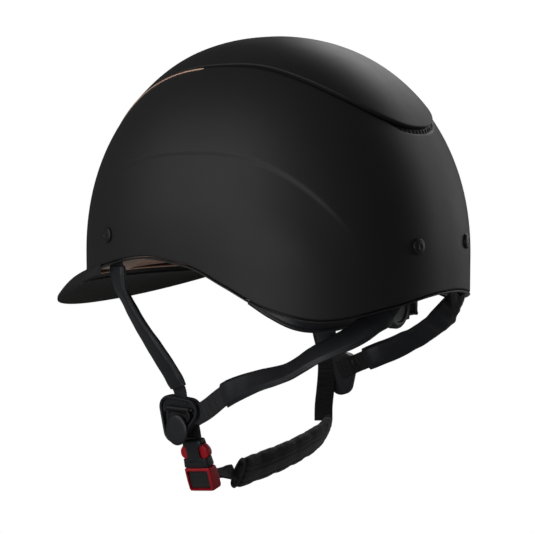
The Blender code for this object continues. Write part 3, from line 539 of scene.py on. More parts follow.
def panel_half_width(lift_deg):
    if lift_deg >= PANEL_WIDEST_DEG:
        share = (lift_deg - PANEL_WIDEST_DEG) / (PANEL_REAR_DEG - PANEL_WIDEST_DEG)
        left = max(1 - share**PANEL_CORNER_POWER, 0.0)
        return PANEL_HALF_WIDTH * left ** (1 / PANEL_CORNER_POWER)
    share = (PANEL_WIDEST_DEG - lift_deg) / (PANEL_WIDEST_DEG - PANEL_FRONT_DEG)
    return PANEL_HALF_WIDTH - PANEL_FRONT_TAPER * share**3


def evenly(points, count, closed=False):
    """The same line with its points evenly spaced."""
    points = np.asarray(points, float)
    if closed:
        points = np.vstack([points, points[:1]])
    lengths = np.concatenate([[0.0], np.cumsum(np.linalg.norm(np.diff(points, axis=0), axis=1))])
    goals = np.linspace(0, lengths[-1], count, endpoint=not closed)
    return np.stack([np.interp(goals, lengths, points[:, i]) for i in range(3)], axis=1)


def panel_outline():
    """The centre panel's edge, evenly spaced, from the front round its left side."""
    side = []
    corner = 0.010
    front_half = panel_half_width(PANEL_FRONT_DEG)
    for i in range(13):
        turn = math.pi / 2 * i / 12
        x = front_half - corner + corner * math.sin(turn)
        lift = PANEL_FRONT_DEG + math.degrees(corner / HALF_LENGTH) * (1 - math.cos(turn))
        side.append(crown_point(x, lift))
    first = PANEL_FRONT_DEG + math.degrees(corner / HALF_LENGTH)
    for i in range(1, 241):
        turn = math.pi / 2 * i / 240
        lift = first + (PANEL_WIDEST_DEG - first) * i / 240
        side.append(crown_point(panel_half_width(lift), lift))
    span = PANEL_REAR_DEG - PANEL_WIDEST_DEG
    for i in range(1, 121):
        turn = math.pi / 2 * i / 120
        x = PANEL_HALF_WIDTH * math.cos(turn) ** (2 / PANEL_CORNER_POWER)
        lift = PANEL_WIDEST_DEG + span * math.sin(turn) ** (2 / PANEL_CORNER_POWER)
        side.append(crown_point(x, lift))
    other = [p * (-1, 1, 1) for p in reversed(side[:-1])]
    return evenly(side + other, COLUMNS, closed=True)


def plan_degrees(points):
    """The plan angle of points, 0 at the front, growing round the left side."""
    half = PLAN_POWER / 2
    x = np.sign(points[:, 0]) * np.abs(points[:, 0] / HALF_WIDTH) ** half
    y = -np.sign(points[:, 1]) * np.abs(points[:, 1] / HALF_LENGTH) ** half
    return np.degrees(np.arctan2(x, y)) % 360


# --- Shell ------------------------------------------------------------------

EDGE = panel_outline()
EDGE_NORMAL = on_dome(EDGE - CENTRE)[1]
EDGE_TANGENT = unit(np.roll(EDGE, -1, 0) - np.roll(EDGE, 1, 0))
EDGE_AWAY = np.cross(EDGE_TANGENT, EDGE_NORMAL)
EDGE_AWAY *= np.sign((EDGE_AWAY * (EDGE - EDGE.mean(axis=0))).sum(axis=1).mean())
EDGE_LIFT = np.degrees(np.arctan2((EDGE[:, 2] - DOME_BASE) / DOME_HEIGHT, -EDGE[:, 1] / HALF_LENGTH))
EDGE_DEG = plan_degrees(EDGE)
REARNESS = smooth(EDGE_LIFT, 62, 122)
VENT = (EDGE[:, 1] > 0) * (1 - smooth(np.abs(EDGE[:, 0]), 0.020, 0.032))
GROOVE_WIDTH = (1.0 + 1.0 * REARNESS + 2.6 * VENT) * MM
GROOVE_DEPTH = (0.45 + 1.65 * REARNESS) * MM
PANEL_EDGE_RISE = (0.45 + 1.45 * REARNESS) * MM
PANEL_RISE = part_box("crown_panel")[1].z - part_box("outer_shell")[1].z


def beside_panel(offset, rise, columns=slice(None)):
    """Points at a distance outside the panel's edge, raised above the dome."""
    moved = EDGE[columns] + EDGE_AWAY[columns] * np.asarray(offset).reshape(-1, 1)
    return on_dome(moved - CENTRE, np.broadcast_to(rise, len(moved)))[0]


def arc_between(first, last, share):
    """Directions along the great circle from first to last."""
    angle = np.arccos(np.clip((first * last).sum(axis=1), -1, 1))[:, None]
    return (np.sin((1 - share) * angle) * first + np.sin(share * angle) * last) / np.sin(angle)


def side_recess(points):
    """How far the lower side of the shell lies in, under its long curved crease."""
    degrees = plan_degrees(points)
    folded = np.where(degrees > 180, 360 - degrees, degrees)
    past = folded - 92
    rear = 0.019 * past**2 + 1.2e-6 * past**4
    crease = 86 - np.where(past < 0, 0.0165 * past**2, rear)
    below = crease - points[:, 2] / MM
    step = smooth(below, -0.3, 1.6) * (1 - smooth(below, 10, 44))
    ends = smooth(folded, 46, 66) * (1 - smooth(folded, 126, 145))
    return 1.0 * MM * step * ends


def shell_rings():
    rim_z = np.array([rim_height(d) for d in EDGE_DEG])
    rim = np.array([shell_wall(d, z, 0.0) for d, z in zip(EDGE_DEG, rim_z)])
    toward_rim = unit(rim - CENTRE)
    rings = [beside_panel(-0.004, -GROOVE_DEPTH)]
    groove = (
        (0.0, 1.0), (0.45, 1.0), (0.62, 0.92), (0.78, 0.5), (0.90, 0.18), (1.05, 0.04), (1.3, 0.0),
    )
    for across, depth in groove:
        rings.append(beside_panel(GROOVE_WIDTH * across, -GROOVE_DEPTH * depth))
    last = unit(beside_panel(GROOVE_WIDTH * 1.6, 0.0) - CENTRE)
    rows = 104
    for i in range(rows):
        points, normals = on_dome(arc_between(last, toward_rim, i / rows))
        rings.append(points - normals * side_recess(points)[:, None])
    for inset, up in ((0.0, 1.0), (0.25, 0.35), (0.8, 0.05), (1.5, 0.0), (2.2, 0.35), (2.5, 1.2)):
        rings.append(np.array([
            shell_wall(d, z + up * MM, inset * MM) for d, z in zip(EDGE_DEG, rim_z)
        ]))
    inner = unit(rings[-1] - CENTRE)
    for i in range(1, 15):
        rings.append(on_dome(arc_between(inner, last, i / 14), np.full(COLUMNS, -SHELL_WALL))[0])
    rings.append(beside_panel(-0.004, np.full(COLUMNS, -SHELL_WALL)))
    return rings


def crown_panel_rings():
    clipped = np.clip(EDGE_LIFT, 36, 126)
    spine = unit(np.array([crown_point(0.0, lift) for lift in clipped]) - CENTRE)
    wall = -0.00025
    corner = 0.0009
    rings = [beside_panel(wall, -GROOVE_DEPTH - 0.0002)]
    for i in range(6):
        turn = math.pi / 2 * i / 5
        inward = wall - corner * (1 - math.cos(turn))
        rings.append(beside_panel(inward, PANEL_EDGE_RISE - corner * (1 - math.sin(turn))))
    start = unit(beside_panel(wall - corner * 1.5, 0.0) - CENTRE)
    reach = np.linalg.norm(EDGE - on_dome(spine)[0], axis=1)
    rows = 30
    for i in range(rows + 1):
        share = (i / rows) ** 1.25
        crown = smooth(share * reach, 0.0, 0.030)
        rise = PANEL_EDGE_RISE + (PANEL_RISE - PANEL_EDGE_RISE) * crown
        rings.append(on_dome(arc_between(start, spine, share), rise)[0])
    under = [on_dome(arc_between(start, spine, s), -GROOVE_DEPTH - 0.0002)[0] for s in (1.0, 0.5)]
    return rings + under


def welded(item, distance=2e-5):
    work = bmesh.new()
    work.from_mesh(item.data)
    bmesh.ops.remove_doubles(work, verts=work.verts, dist=distance)
    bmesh.ops.recalc_face_normals(work, faces=work.faces)
    work.to_mesh(item.data)
    work.free()
    return item


def build_shell():
    shell = loft("helmet_shell", shell_rings(), SHELL, closed=True, sharp=60)
    settle(shell, "helmet", "shell", "outer_shell")
    panel = welded(loft("centre_panel", crown_panel_rings(), SHELL, closed=True, sharp=60))
    settle(panel, "helmet", "shell", "crown_panel")


def build_accents():
    """The rose gold inlays beside the front of the panel, tapered at their rear end."""
    section = ((1.25, -0.4), (1.25, 0.1), (1.4, 0.36), (1.7, 0.5), (2.35, 0.5), (2.65, 0.36),
               (2.8, 0.1), (2.8, -0.4))
    for label, sign in (("left", 1), ("right", -1)):
        chosen = [
            k for k in range(COLUMNS)
            if 20 < EDGE_LIFT[k] < 82 and EDGE[k, 0] * sign > 0.03
        ]
        chosen = np.array(chosen)
        taper = smooth(82 - EDGE_LIFT[chosen], 0.0, 2.0)
        rings = []
        for across, rise in section:
            middle = 2.02
            offset = (middle + (across - middle) * (0.25 + 0.75 * taper)) * MM
            rings.append(beside_panel(offset, rise * MM * (0.6 + 0.4 * taper), chosen))
        rings = np.stack(rings, axis=1)
        strip = loft(f"inlay_{label}", rings, GOLD, sharp=50)
        settle(strip, "helmet", "rose_gold", f"accent_{label}")


def build_vent():
    """The vent strip with its short bars, in the groove behind the panel; both are deep black, a guessed
    grille whose black also paints the shade in the groove.
    """
    chosen = np.array([k for k in range(COLUMNS) if VENT[k] > 0.5])
    # The bed and the bars are deep black: a guessed grille, and the black also paints the shade in the
    # groove.
    bed = []
    for across, rise in ((0.9, -2.4), (0.9, -1.8), (3.9, -1.8), (3.9, -2.4)):
        bed.append(beside_panel(across * MM, rise * MM, chosen))
    strip = loft("vent_bed_painted_shade", np.stack(bed, axis=1), DARK)
    settle(strip, "helmet", "black_plastic", "rear_vent_grille")
    points, faces = [], []
    for k in chosen[2:-2:4]:
        first = len(points)
        for column in (k, k + 1):
            one = np.array([column])
            for across, rise in ((0.7, -1.9), (0.7, -1.3), (2.2, -1.2), (4.0, -1.3), (4.0, -1.9)):
                points.append(beside_panel(across * MM, rise * MM, one)[0])
        ring = [first + i for i in range(5)]
        other = [first + 5 + i for i in range(5)]
        faces += [tuple(reversed(ring)), tuple(other)]
        faces += [(ring[i], ring[(i + 1) % 5], other[(i + 1) % 5], other[i]) for i in range(5)]
    bars = outward(shaded("vent_bars_painted_shade", points, faces, DARK, 30))
    settle(bars, "helmet", "black_plastic")


def build_rim():
    rings = []
    for i in range(COLUMNS):
        degrees = 360.0 * i / COLUMNS
        top = rim_height(degrees) - 0.0004
        ring = []
        for j in range(12):
            turn = math.tau * j / 12
            inset = 0.0015 - 0.0017 * power(math.cos(turn), 0.6)
            drop = 0.0007 - 0.0007 * power(math.sin(turn), 0.6)
            point = shell_wall(degrees, top, inset)
            point.z = top - drop
            ring.append(point)
        rings.append(ring)
    trim = loft("rim_edging", rings, TRIM, closed=True)
    settle(trim, "helmet", "rim_edge", "rim_trim")


def rivet_frame(degrees, z):
    out = shell_normal(degrees, z)
    turn = Vector((0, 0, 1)).rotation_difference(out).to_matrix().to_4x4()
    return Matrix.Translation(shell_wall(degrees, z, 0.0) + out * RIVET_STAND_OFF) @ turn


def lathe(name, profile, material, frame_at, segments=48, sharp=35):
    """A turned solid from (radius, height) pairs, placed by a matrix."""
    rings = []
    for radius, height in profile:
        rings.append([
            frame_at @ Vector((radius * math.cos(t), radius * math.sin(t), height))
            for t in (math.tau * i / segments for i in range(segments))
        ])
    return loft(name, rings, material, sharp=sharp)


def build_rivets():
    profile = [(RIVET_RADIUS * 0.7, -0.0009), (RIVET_RADIUS, -0.0007), (RIVET_RADIUS, 0.0005)]
    for i in range(1, 9):
        turn = math.pi / 2 * i / 8
        profile.append((RIVET_RADIUS * (1 - 0.18 * (1 - math.cos(turn))) - 0.0006 * i / 8,
                        0.0005 + 0.0008 * math.sin(turn)))
    profile += [(0.0030, 0.0015), (0.0020, 0.00165), (0.0016, 0.0014), (0.0006, 0.00135)]
    places = {
        "front_left": FRONT_RIVET, "front_right": (-FRONT_RIVET[0], FRONT_RIVET[1]),
        "rear_left": REAR_RIVET, "rear_right": (-REAR_RIVET[0], REAR_RIVET[1]),
    }
    for place, (degrees, z) in places.items():
        head = lathe(f"rivet_head_{place}", profile, TRIM, rivet_frame(degrees, z))
        settle(head, "helmet", "rim_edge", f"rivet_{place}")


# --- Peak -------------------------------------------------------------------


def peak_place(share, s, low, high, root_low, root_high):
    """(bottom, top) points of a layer of the peak: share across it, s outwards."""
    degrees = share * PEAK_END_DEG
    turn = math.pi / 2 * share
    x = PEAK_HALF_WIDTH * math.sin(turn)
    y = PEAK_START_Y - PEAK_REACH * math.cos(turn)
    root_z = rim_height(degrees) + 0.004
    edge_z = PEAK_SIDE_HEIGHT - PEAK_DROP * math.cos(turn)
    root = shell_wall(degrees, root_z, -0.0007)
    middle = root_z + (edge_z - root_z) * (0.75 * s + 0.25 * s * s)
    fade = (1 - s) ** 2
    across = root.x + (x - root.x) * s
    along = root.y + (y - root.y) * s
    top = middle + high + (root_high - high) * fade
    bottom = middle + low + (root_low - low) * fade
    return Vector((across, along, bottom)), Vector((across, along, top))


def peak_rings(low, high, root_low, root_high, reach, span, steps, rows):
    rings = []
    for i in range(steps + 1):
        share = reach * (2 * i / steps - 1)
        top, bottom = [], []
        for k in range(rows + 1):
            s = span[0] + (span[1] - span[0]) * (1 - (1 - k / rows) ** 1.6)
            under, over = peak_place(share, s, low, high, root_low, root_high)
            middle = (under + over) / 2
            edge = max((span[1] - s) / (span[1] - span[0]), 0.0)
            round_off = math.sqrt(1 - (1 - min(edge / 0.014, 1.0)) ** 2)
            top.append(middle.lerp(over, 0.15 + 0.85 * round_off))
            bottom.append(middle.lerp(under, 0.15 + 0.85 * round_off))
        rings.append(top + bottom[::-1])
    return rings


def build_peak():
    body = loft("peak_shell", peak_rings(
        0.0, PEAK_EDGE, PEAK_ROOT_LOW, PEAK_ROOT_LOW + PEAK_ROOT, 1.0, (0.0, 1.0), 120, 26
    ), SHELL, sharp=60)
    settle(body, "helmet", "shell", "peak")
    gap = 0.0006
    thick = 0.0010
    lining = loft("peak_underside", peak_rings(
        -gap - thick, -gap, PEAK_ROOT_LOW - gap - thick, PEAK_ROOT_LOW - gap, 0.88,
        (0.07, 0.955), 110, 20
    ), PEAK_CLOTH, sharp=60)
    settle(lining, "helmet", "peak_fabric", "peak_lining")
    rings = []
    for i in range(181):
        degrees = -54 + 108 * i / 180
        top = rim_height(degrees) - 0.0026
        ring = []
        for j in range(10):
            turn = math.tau * j / 10
            point = shell_wall(degrees, top, 0.0018 - 0.0020 * math.cos(turn))
            point.z = top - 0.0008 + 0.0008 * math.sin(turn)
            ring.append(point)
        rings.append(ring)
    line = loft("brow_line", rings, GOLD)
    settle(line, "helmet", "rose_gold", "brow_trim")


# --- Liner and padding ------------------------------------------------------


def liner_edge(degrees):
    turned_by = abs((degrees + 180.0) % 360.0 - 180.0)
    edge = rim_height(degrees) + 0.003
    return edge if turned_by < 96 else max(edge, LINER_REAR_EDGE)


def cavity_wall(degrees, z, inset):
    """A point on the inside of the foam at a height, inset from it."""
    x, y = plan(degrees, CAVITY_HALF_WIDTH - inset, CAVITY_HALF_LENGTH - inset)
    closed = shrink_at(z, CAVITY_TOP - DOME_BASE)
    return Vector((x * closed, y * closed, z))


def build_foam():
    """Moulded bead foam between the head space and the shell, with air channels."""
    columns, levels = 240, 30
    rings = []
    for side in ("inner", "outer"):
        ring_set = []
        for level in range(levels + 1):
            share = level / levels * 0.995
            ring = []
            for i in range(columns):
                degrees = 360.0 * i / columns
                start = liner_edge(degrees)
                if side == "inner":
                    z = start + (CAVITY_TOP - start) * math.sin(share * math.pi / 2)
                    inset = 0.0
                    channel = abs((degrees % 45) - 22.5) / 22.5
                    inset -= 0.0025 * float(smooth(channel, 0.80, 0.92) * smooth(z, 0.055, 0.075))
                    ring.append(cavity_wall(degrees, z, inset))
                else:
                    top = DOME_HEIGHT + DOME_BASE - SHELL_WALL - 0.002
                    z = start + (top - start) * math.sin(share * math.pi / 2)
                    low = min(max(1 - z / 0.060, 0.0), 1.0)
                    inset = SHELL_WALL + 0.001 + 0.006 * min(1.0, 2.2 * low)
                    ring.append(shell_wall(degrees, z, inset))
            ring_set.append(ring)
        rings += ring_set[::-1] if side == "inner" else ring_set
    foam = loft("bead_foam", rings, FOAM, sharp=60)
    settle(foam, "helmet", "impact_foam", "impact_liner")


def stuffed(item, voxel, pressure=4.0, cap=0.0015, seconds_frames=20):
    """Blows up a soft piece like cloth round a filling, no point moving over cap."""
    remesh = item.modifiers.new("even", "REMESH")
    remesh.mode = "VOXEL"
    remesh.voxel_size = voxel
    bake(item)
    rest = np.array([v.co for v in item.data.vertices])
    cloth = item.modifiers.new("cloth", "CLOTH")
    cloth.settings.use_pressure = True
    cloth.settings.uniform_pressure_force = pressure
    cloth.settings.effector_weights.gravity = 0.0
    cloth.settings.tension_stiffness = 40
    cloth.settings.compression_stiffness = 40
    cloth.settings.bending_stiffness = 2.0
    cloth.point_cache.frame_start = 1
    cloth.point_cache.frame_end = seconds_frames
    scene = bpy.context.scene
    for frame_number in range(1, seconds_frames + 1):
        scene.frame_set(frame_number)
    bake(item)
    moved = np.array([v.co for v in item.data.vertices])
    step = moved - rest
    length = np.linalg.norm(step, axis=1, keepdims=True)
    step *= np.minimum(1.0, cap / np.maximum(length, 1e-9))
    item.data.vertices.foreach_set("co", (rest + step).ravel())
    scene.frame_set(1)
    return item


def bake(item):
    """Applies every modifier of an item."""
    bpy.context.view_layer.update()
    graph = bpy.context.evaluated_depsgraph_get()
    mesh = bpy.data.meshes.new_from_object(item.evaluated_get(graph))
    item.modifiers.clear()
    item.data = mesh


def subdivided(item, levels=1):
    change = item.modifiers.new("fine", "SUBSURF")
    change.levels = levels
    change.render_levels = levels
    bake(item)
    item.data.shade_smooth()
    return item


def sculpt(item, change):
    """Moves each point along its normal by change(points), in metres."""
    mesh = item.data
    points = np.array([v.co for v in mesh.vertices])
    normals = np.array([v.normal for v in mesh.vertices])
    mesh.vertices.foreach_set("co", (points + normals * change(points)[:, None]).ravel())
    mesh.update()
    return item


def headband_low(degrees):
    """The lower edge of the headband, which hangs lower at the temples."""
    turned = abs((degrees + 180.0) % 360.0 - 180.0)
    share = min(max((turned - TEMPLE_START_DEG) / TEMPLE_SPAN_DEG, 0.0), 1.0)
    hang = share * share * (3 - 2 * share) if turned < TEMPLE_END_DEG else 0.0
    drop = HEADBAND_DROP * float(smooth(turned, 48, 74))
    return liner_edge(degrees) - drop - TEMPLE_HANG * hang


def headband(name, first_deg, last_deg, node):
    """A padded leatherette band inside the foam, with stitched cross seams."""
    rings = []
    steps = 150
    for i in range(steps + 1):
        degrees = first_deg + (last_deg - first_deg) * i / steps
        low, high = headband_low(degrees), liner_edge(degrees) + 0.026
        ring = []
        for j in range(16):
            turn = math.tau * j / 16
            depth = 0.0036 - 0.0022 * power(math.cos(turn), 0.7)
            z = (low + high) / 2 + (high - low) / 2 * power(math.sin(turn), 0.55)
            ring.append(cavity_wall(degrees, z, depth))
        rings.append(ring)
    band = loft(name, rings, NUDE, sharp=80)
    stuffed(band, 0.0025, cap=0.0012)
    subdivided(band)

    def seams(points):
        degrees = np.degrees(np.arctan2(points[:, 0], -points[:, 1]))
        seam = np.abs((degrees / 14.0 + 0.5) % 1.0 - 0.5) * 14.0
        low = np.array([liner_edge(d) for d in degrees])
        share = (points[:, 2] - low) / 0.026
        line = np.abs(share - 0.78)
        return -0.0009 * (1 - smooth(seam, 0.2, 1.3)) - 0.0006 * (1 - smooth(line, 0.01, 0.06))

    sculpt(band, seams)
    settle(band, "helmet", "headband_leather", node)


def build_bindings():
    """Nude leatherette wrapped round the liner's lower edge, at the sides and behind."""
    rings = []
    for i in range(241):
        degrees = -101 + 202 * i / 240
        edge = liner_edge(degrees)
        low = edge - 0.0012
        out = SHELL_WALL + 0.001 + 0.006 * min(1.0, 2.2 * min(max(1 - edge / 0.060, 0.0), 1.0))
        rings.append([
            cavity_wall(degrees, edge + 0.006, 0.0010), cavity_wall(degrees, low, 0.0010),
            shell_wall(degrees, low, out - 0.0011), shell_wall(degrees, edge + 0.012, out - 0.0011),
            shell_wall(degrees, edge + 0.012, out + 0.0004), shell_wall(degrees, edge, out + 0.0004),
            cavity_wall(degrees, edge, -0.0004), cavity_wall(degrees, edge + 0.006, -0.0004),
        ])
    wrap = loft("liner_binding", rings, NUDE)
    settle(wrap, "helmet", "headband_leather")
    rings = []
    for i in range(121):
        degrees = 128 + 104 * i / 120
        low = rim_height(degrees) + 0.0006
        rings.append([
            shell_wall(degrees, z, inset)
            for z, inset in (
                (low + 0.009, 0.0027), (low, 0.0027), (low - 0.0003, 0.0031), (low, 0.0035),
                (low + 0.009, 0.0035),
            )
        ])
    strip = loft("rear_binding", rings, NUDE)
    settle(strip, "helmet", "headband_leather")


def build_comfort():
    """The padded cap in the crown: six soft panels with channels between them."""
    rings = []
    columns, levels = 200, 34
    for inset_top in (0.0012, 0.0058):
        ring_set = []
        for level in range(levels + 1):
            share = level / levels * 0.985
            ring = []
            for i in range(columns):
                degrees = 360.0 * i / columns
                top = CAVITY_TOP - inset_top
                z = 0.052 + (top - 0.052) * math.sin(share * math.pi / 2)
                closed = max(1 - ((z - DOME_BASE) / (top - DOME_BASE)) ** PROFILE_POWER, 0.0)
                closed **= 1 / PROFILE_POWER
                x, y = plan(degrees, CAVITY_HALF_WIDTH - inset_top, CAVITY_HALF_LENGTH - inset_top)
                ring.append(Vector((x * closed, y * closed, z)))
            ring_set.append(ring)
        rings += ring_set[::-1] if inset_top < 0.002 else ring_set
    cap = loft("comfort_cap", rings, COMFORT, sharp=80)
    stuffed(cap, 0.003, cap=0.0015)

    def channels(points):
        degrees = np.degrees(np.arctan2(points[:, 0], -points[:, 1]))
        radial = np.abs((degrees / 60.0) % 1.0 - 0.5) * 60.0 * np.hypot(points[:, 0], points[:, 1]) / 57.3
        level = np.abs(points[:, 2] - 0.098)
        inside = points[:, 2] > 0.056
        depth = 0.0018 * (1 - smooth(radial, 0.0005, 0.0040))
        depth += 0.0015 * (1 - smooth(level, 0.0005, 0.0035))
        return -depth * inside

    sculpt(cap, channels)
    settle(cap, "helmet", "comfort_fabric", "comfort_liner")


# --- Straps -----------------------------------------------------------------


def curve_through(points, steps):
    """Points of a smooth curve through a few points, evenly spaced along it."""
    placed = [Vector(p) for p in points]
    fine = []
    for i in range(len(placed) - 1):
        a = placed[max(i - 1, 0)]
        b, c = placed[i], placed[i + 1]
        d = placed[min(i + 2, len(placed) - 1)]
        for k in range(24):
            t = k / 24
            fine.append(
                0.5 * (2 * b + (c - a) * t + (2 * a - 5 * b + 4 * c - d) * t**2
                       + (3 * b - a - 3 * c + d) * t**3)
            )
    fine.append(placed[-1])
    return [Vector(p) for p in evenly(fine, steps + 1)]


def facing_at(facing, share):
    """The outward side of a strap, from (share of its length, direction) pairs."""
    for (a, first), (b, last) in zip(facing[:-1], facing[1:]):
        if share <= b:
            t = float(smooth(share, a, b))
            return Vector(first).lerp(Vector(last), t)
    return Vector(facing[-1][1])


FINE = 800


def strap_frames(route, facing, span, step):
    """(share, place, across, out) every step metres along part of a route."""
    fine = curve_through(route, FINE)
    length = sum((b - a).length for a, b in zip(fine[:-1], fine[1:]))
    count = max(round(length * (span[1] - span[0]) / step), 2)
    frames = []
    for i in range(count + 1):
        share = span[0] + (span[1] - span[0]) * i / count
        at = round(FINE * share)
        along = (fine[min(at + 12, FINE)] - fine[max(at - 12, 0)]).normalized()
        across = facing_at(facing, share).cross(along).normalized()
        out = along.cross(across).normalized()
        frames.append((share, fine[at], across, out))
    return frames


def strap_ring(frame_at, width, thickness, points=28, corner=0.35, bow=0.0):
    """A rounded flat ring: corner under 1 makes it square, bow crowns its face."""
    _, here, across, out = frame_at
    ring = []
    for j in range(points):
        turn = math.tau * (j + 0.5) / points
        a = width / 2 * power(math.cos(turn), corner)
        b = thickness / 2 * power(math.sin(turn), corner)
        b *= 1 + bow * (1 - (2 * a / width) ** 2)
        ring.append(here + across * a + out * b)
    return ring


def webbing(name, route, facing, span, body, node, width=WEBBING_WIDTH, slot="webbing", ride=True):
    """Woven strap with fine raised cross ribs."""
    rings = []
    for i, place in enumerate(strap_frames(route, facing, span, 0.00045)):
        thick = WEBBING_THICKNESS + (0.00022 if i % 3 == 1 else -0.00008)
        rings.append(strap_ring(place, width - (0.0 if i % 3 == 1 else 0.0002), thick, 20, 0.3))
    strip = loft(name, rings, WEBBING, sharp=30)
    if not ride:
        return strip
    return settle(strip, body, slot, *([node] if node else []))


SLEEVE_STEP = 0.0014


def ripple_at(position, wave):
    """How far a sleeve's skin leaves its flat line, at a distance along it."""
    return wave * (math.sin(position / 0.0036) + 0.5 * math.sin(position / 0.0021 + 1))


def sleeve(name, route, facing, span, node, puff, wave=0.0):
    """A leatherette sleeve with folded edges, open at both ends round the webbing."""
    frames = strap_frames(route, facing, span, SLEEVE_STEP)
    last = len(frames) - 1
    rings = []

    def ring(i, width, thick):
        _, here, across, out = frames[i]
        position = i * SLEEVE_STEP
        ripple = ripple_at(position, wave)
        swell = 1 + 0.05 * math.sin(position / 0.005 + 0.7) + 0.03 * math.sin(position / 0.0023)
        result = []
        count = 36
        for j in range(count):
            turn = math.tau * (j + 0.5) / count
            a = width / 2 * power(math.cos(turn), 0.42)
            side = abs(2 * a / width)
            lip = 1 - 0.62 * float(smooth(side, 0.80, 0.90))
            body = (1 + puff * (1 - side**2)) * lip
            b = thick / 2 * power(math.sin(turn), 0.5) * body * swell
            result.append(here + across * a + out * (b + ripple))
        return result

    thin = SLEEVE_THICKNESS * 0.62
    lip_thick = thin * 1.3
    for i, width, thick in (
        (min(3, last), SLEEVE_WIDTH - 0.003, thin * 0.7), (0, SLEEVE_WIDTH - 0.0026, thin * 0.8),
        (0, SLEEVE_WIDTH - 0.0008, thin * 1.2),
    ):
        rings.append(ring(i, width, thick))
    for i in range(len(frames)):
        ends = min(i, last - i) / 4
        full = float(smooth(ends, 0, 1))
        width = SLEEVE_WIDTH - 0.0004 * (1 - full)
        rings.append(ring(i, width, lip_thick + (SLEEVE_THICKNESS - lip_thick) * full))
    for i, width, thick in (
        (last, SLEEVE_WIDTH - 0.0008, thin * 1.2), (last, SLEEVE_WIDTH - 0.0026, thin * 0.8),
        (max(last - 3, 0), SLEEVE_WIDTH - 0.003, thin * 0.7),
    ):
        rings.append(ring(i, width, thick))
    skin = loft(name, rings, LEATHER, sharp=50)
    settle(skin, "helmet", "strap_leather", node)

    points, faces = [], []
    for i in range(3, last - 2, 2):
        _, here, across, out = frames[i]
        along = (frames[i + 1][1] - here).normalized()
        ripple = ripple_at(i * SLEEVE_STEP, wave)
        for side in (-1, 1):
            for face in (-1, 1):
                middle = here + across * side * (SLEEVE_WIDTH / 2 - 0.0011)
                middle += out * (face * 0.00082 + ripple)
                first = len(points)
                for end in (-0.0009, 0.0009):
                    for a, b in ((0.00022, 0), (0, 0.00022), (-0.00022, 0), (0, -0.00022)):
                        points.append(middle + along * end + across * a + out * b)
                faces.append((first, first + 1, first + 2, first + 3))
                faces.append((first + 7, first + 6, first + 5, first + 4))
                for j in range(4):
                    k = (j + 1) % 4
                    faces.append((first + j, first + 4 + j, first + 4 + k, first + k))
    stitches = shaded("stitches_" + name, points, faces, THREAD, 50)
    settle(stitches, "helmet", "strap_leather")


# How the straps go on into, or over, the dividers.
INTO_DIVIDER = {
    "front_left": (Vector((0.0768, -0.0266, -0.0860)),),
    "rear_left": (Vector((0.0772, -0.0140, -0.0935)),),
    "rear_right": (Vector((-0.0876, 0.0080, -0.0785)), Vector((-0.0868, 0.0000, -0.0820))),
}


def mirrored(inside):
    return tuple((-degrees, z, inset) for degrees, z, inset in inside)


def route_of(inside, free):
    return [shell_wall(*place) for place in inside] + [Vector(p) for p in free]


def inside_facing(inside, shares, rest):
    turned_to = [
        (share, shell_normal(place[0], place[1])) for share, place in zip(shares, inside)
    ]
    return turned_to + list(rest)


def build_harness():
    front, rear = FRONT_INSIDE, REAR_INSIDE
    left_front = inside_facing(front, (0.0, 0.08, 0.20), [(0.45, (0.8, -0.6, 0)), (1, (1, -0.3, 0))])
    right_front = inside_facing(mirrored(front), (0.0, 0.08, 0.20), [(1, (-0.9, -0.5, 0))])
    rear_shares = (0.0, 0.07, 0.15, 0.22, 0.29, 0.36)
    left_rear = inside_facing(
        rear[:4], rear_shares, [(0.33, (0.5, 0.4, 0.75)), (0.60, (0.6, 0, 0.8)), (1, (1, 0, 0.1))]
    )
    right_rear = inside_facing(
        REAR_RIGHT_INSIDE, rear_shares, [(0.60, (-0.65, 0, 0.75)), (1, (-1, 0, 0.1))]
    )
    harness = (
        ("front_left", route_of(front, FRONT_LEFT_FREE), left_front, (4, 19.4), 0.35, 0.0),
        ("front_right", route_of(mirrored(front), FRONT_RIGHT_FREE), right_front, (4, 19.6), 0.3, 0.0001),
        ("rear_left", route_of(rear, REAR_LEFT_FREE), left_rear, (5, 18), 0.12, 0.0),
        ("rear_right", route_of(REAR_RIGHT_INSIDE, REAR_RIGHT_FREE), right_rear, (5, 19.4), 0.3, 0.0004),
    )
    for place, route, facing, (first, last), puff, wave in harness:
        webbing(f"strap_{place}", route, facing, (0, 1), "helmet", f"webbing_{place}")
        if place in INTO_DIVIDER:
            tail = (route[-2], route[-1]) + INTO_DIVIDER[place]
            end = ((0, facing_at(facing, 0.96)), (1, facing[-1][1]))
            webbing(f"strap_end_{place}", tail, end, (0, 1), "helmet", "")
        span = (first / STRAP_STEPS, last / STRAP_STEPS)
        sleeve(f"skin_{place}", route, facing, span, f"sleeve_{place}", puff, wave)
    level = ((0, (1, 0, 0)), (1, (1, 0, 0)))
    webbing("strap_to_socket", SOCKET_LINE, level, (0, 1), "helmet", "webbing_to_socket")
    twist = ((0, (0.5, 0.4, 0.8)), (0.5, (0.1, 0.15, 1)), (1, (0.1, 0.6, 0.7)))
    near = webbing("chin_strap_near", CHIN_NEAR_LINE, twist, (0, 1), "", "", ride=False)
    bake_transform(near)
    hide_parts("chin_webbing_near")
    over_divider = ((-0.0905, -0.0125, -0.0620), (-0.0868, -0.0125, -0.0710)) + CHIN_FAR_LINE
    webbing(
        "chin_strap_far", over_divider, ((0, (-0.9, -0.5, 0)), (1, (-0.85, -0.5, -0.4))), (0, 1), "helmet",
        "chin_webbing_far",
    )


# --- Dividers ---------------------------------------------------------------

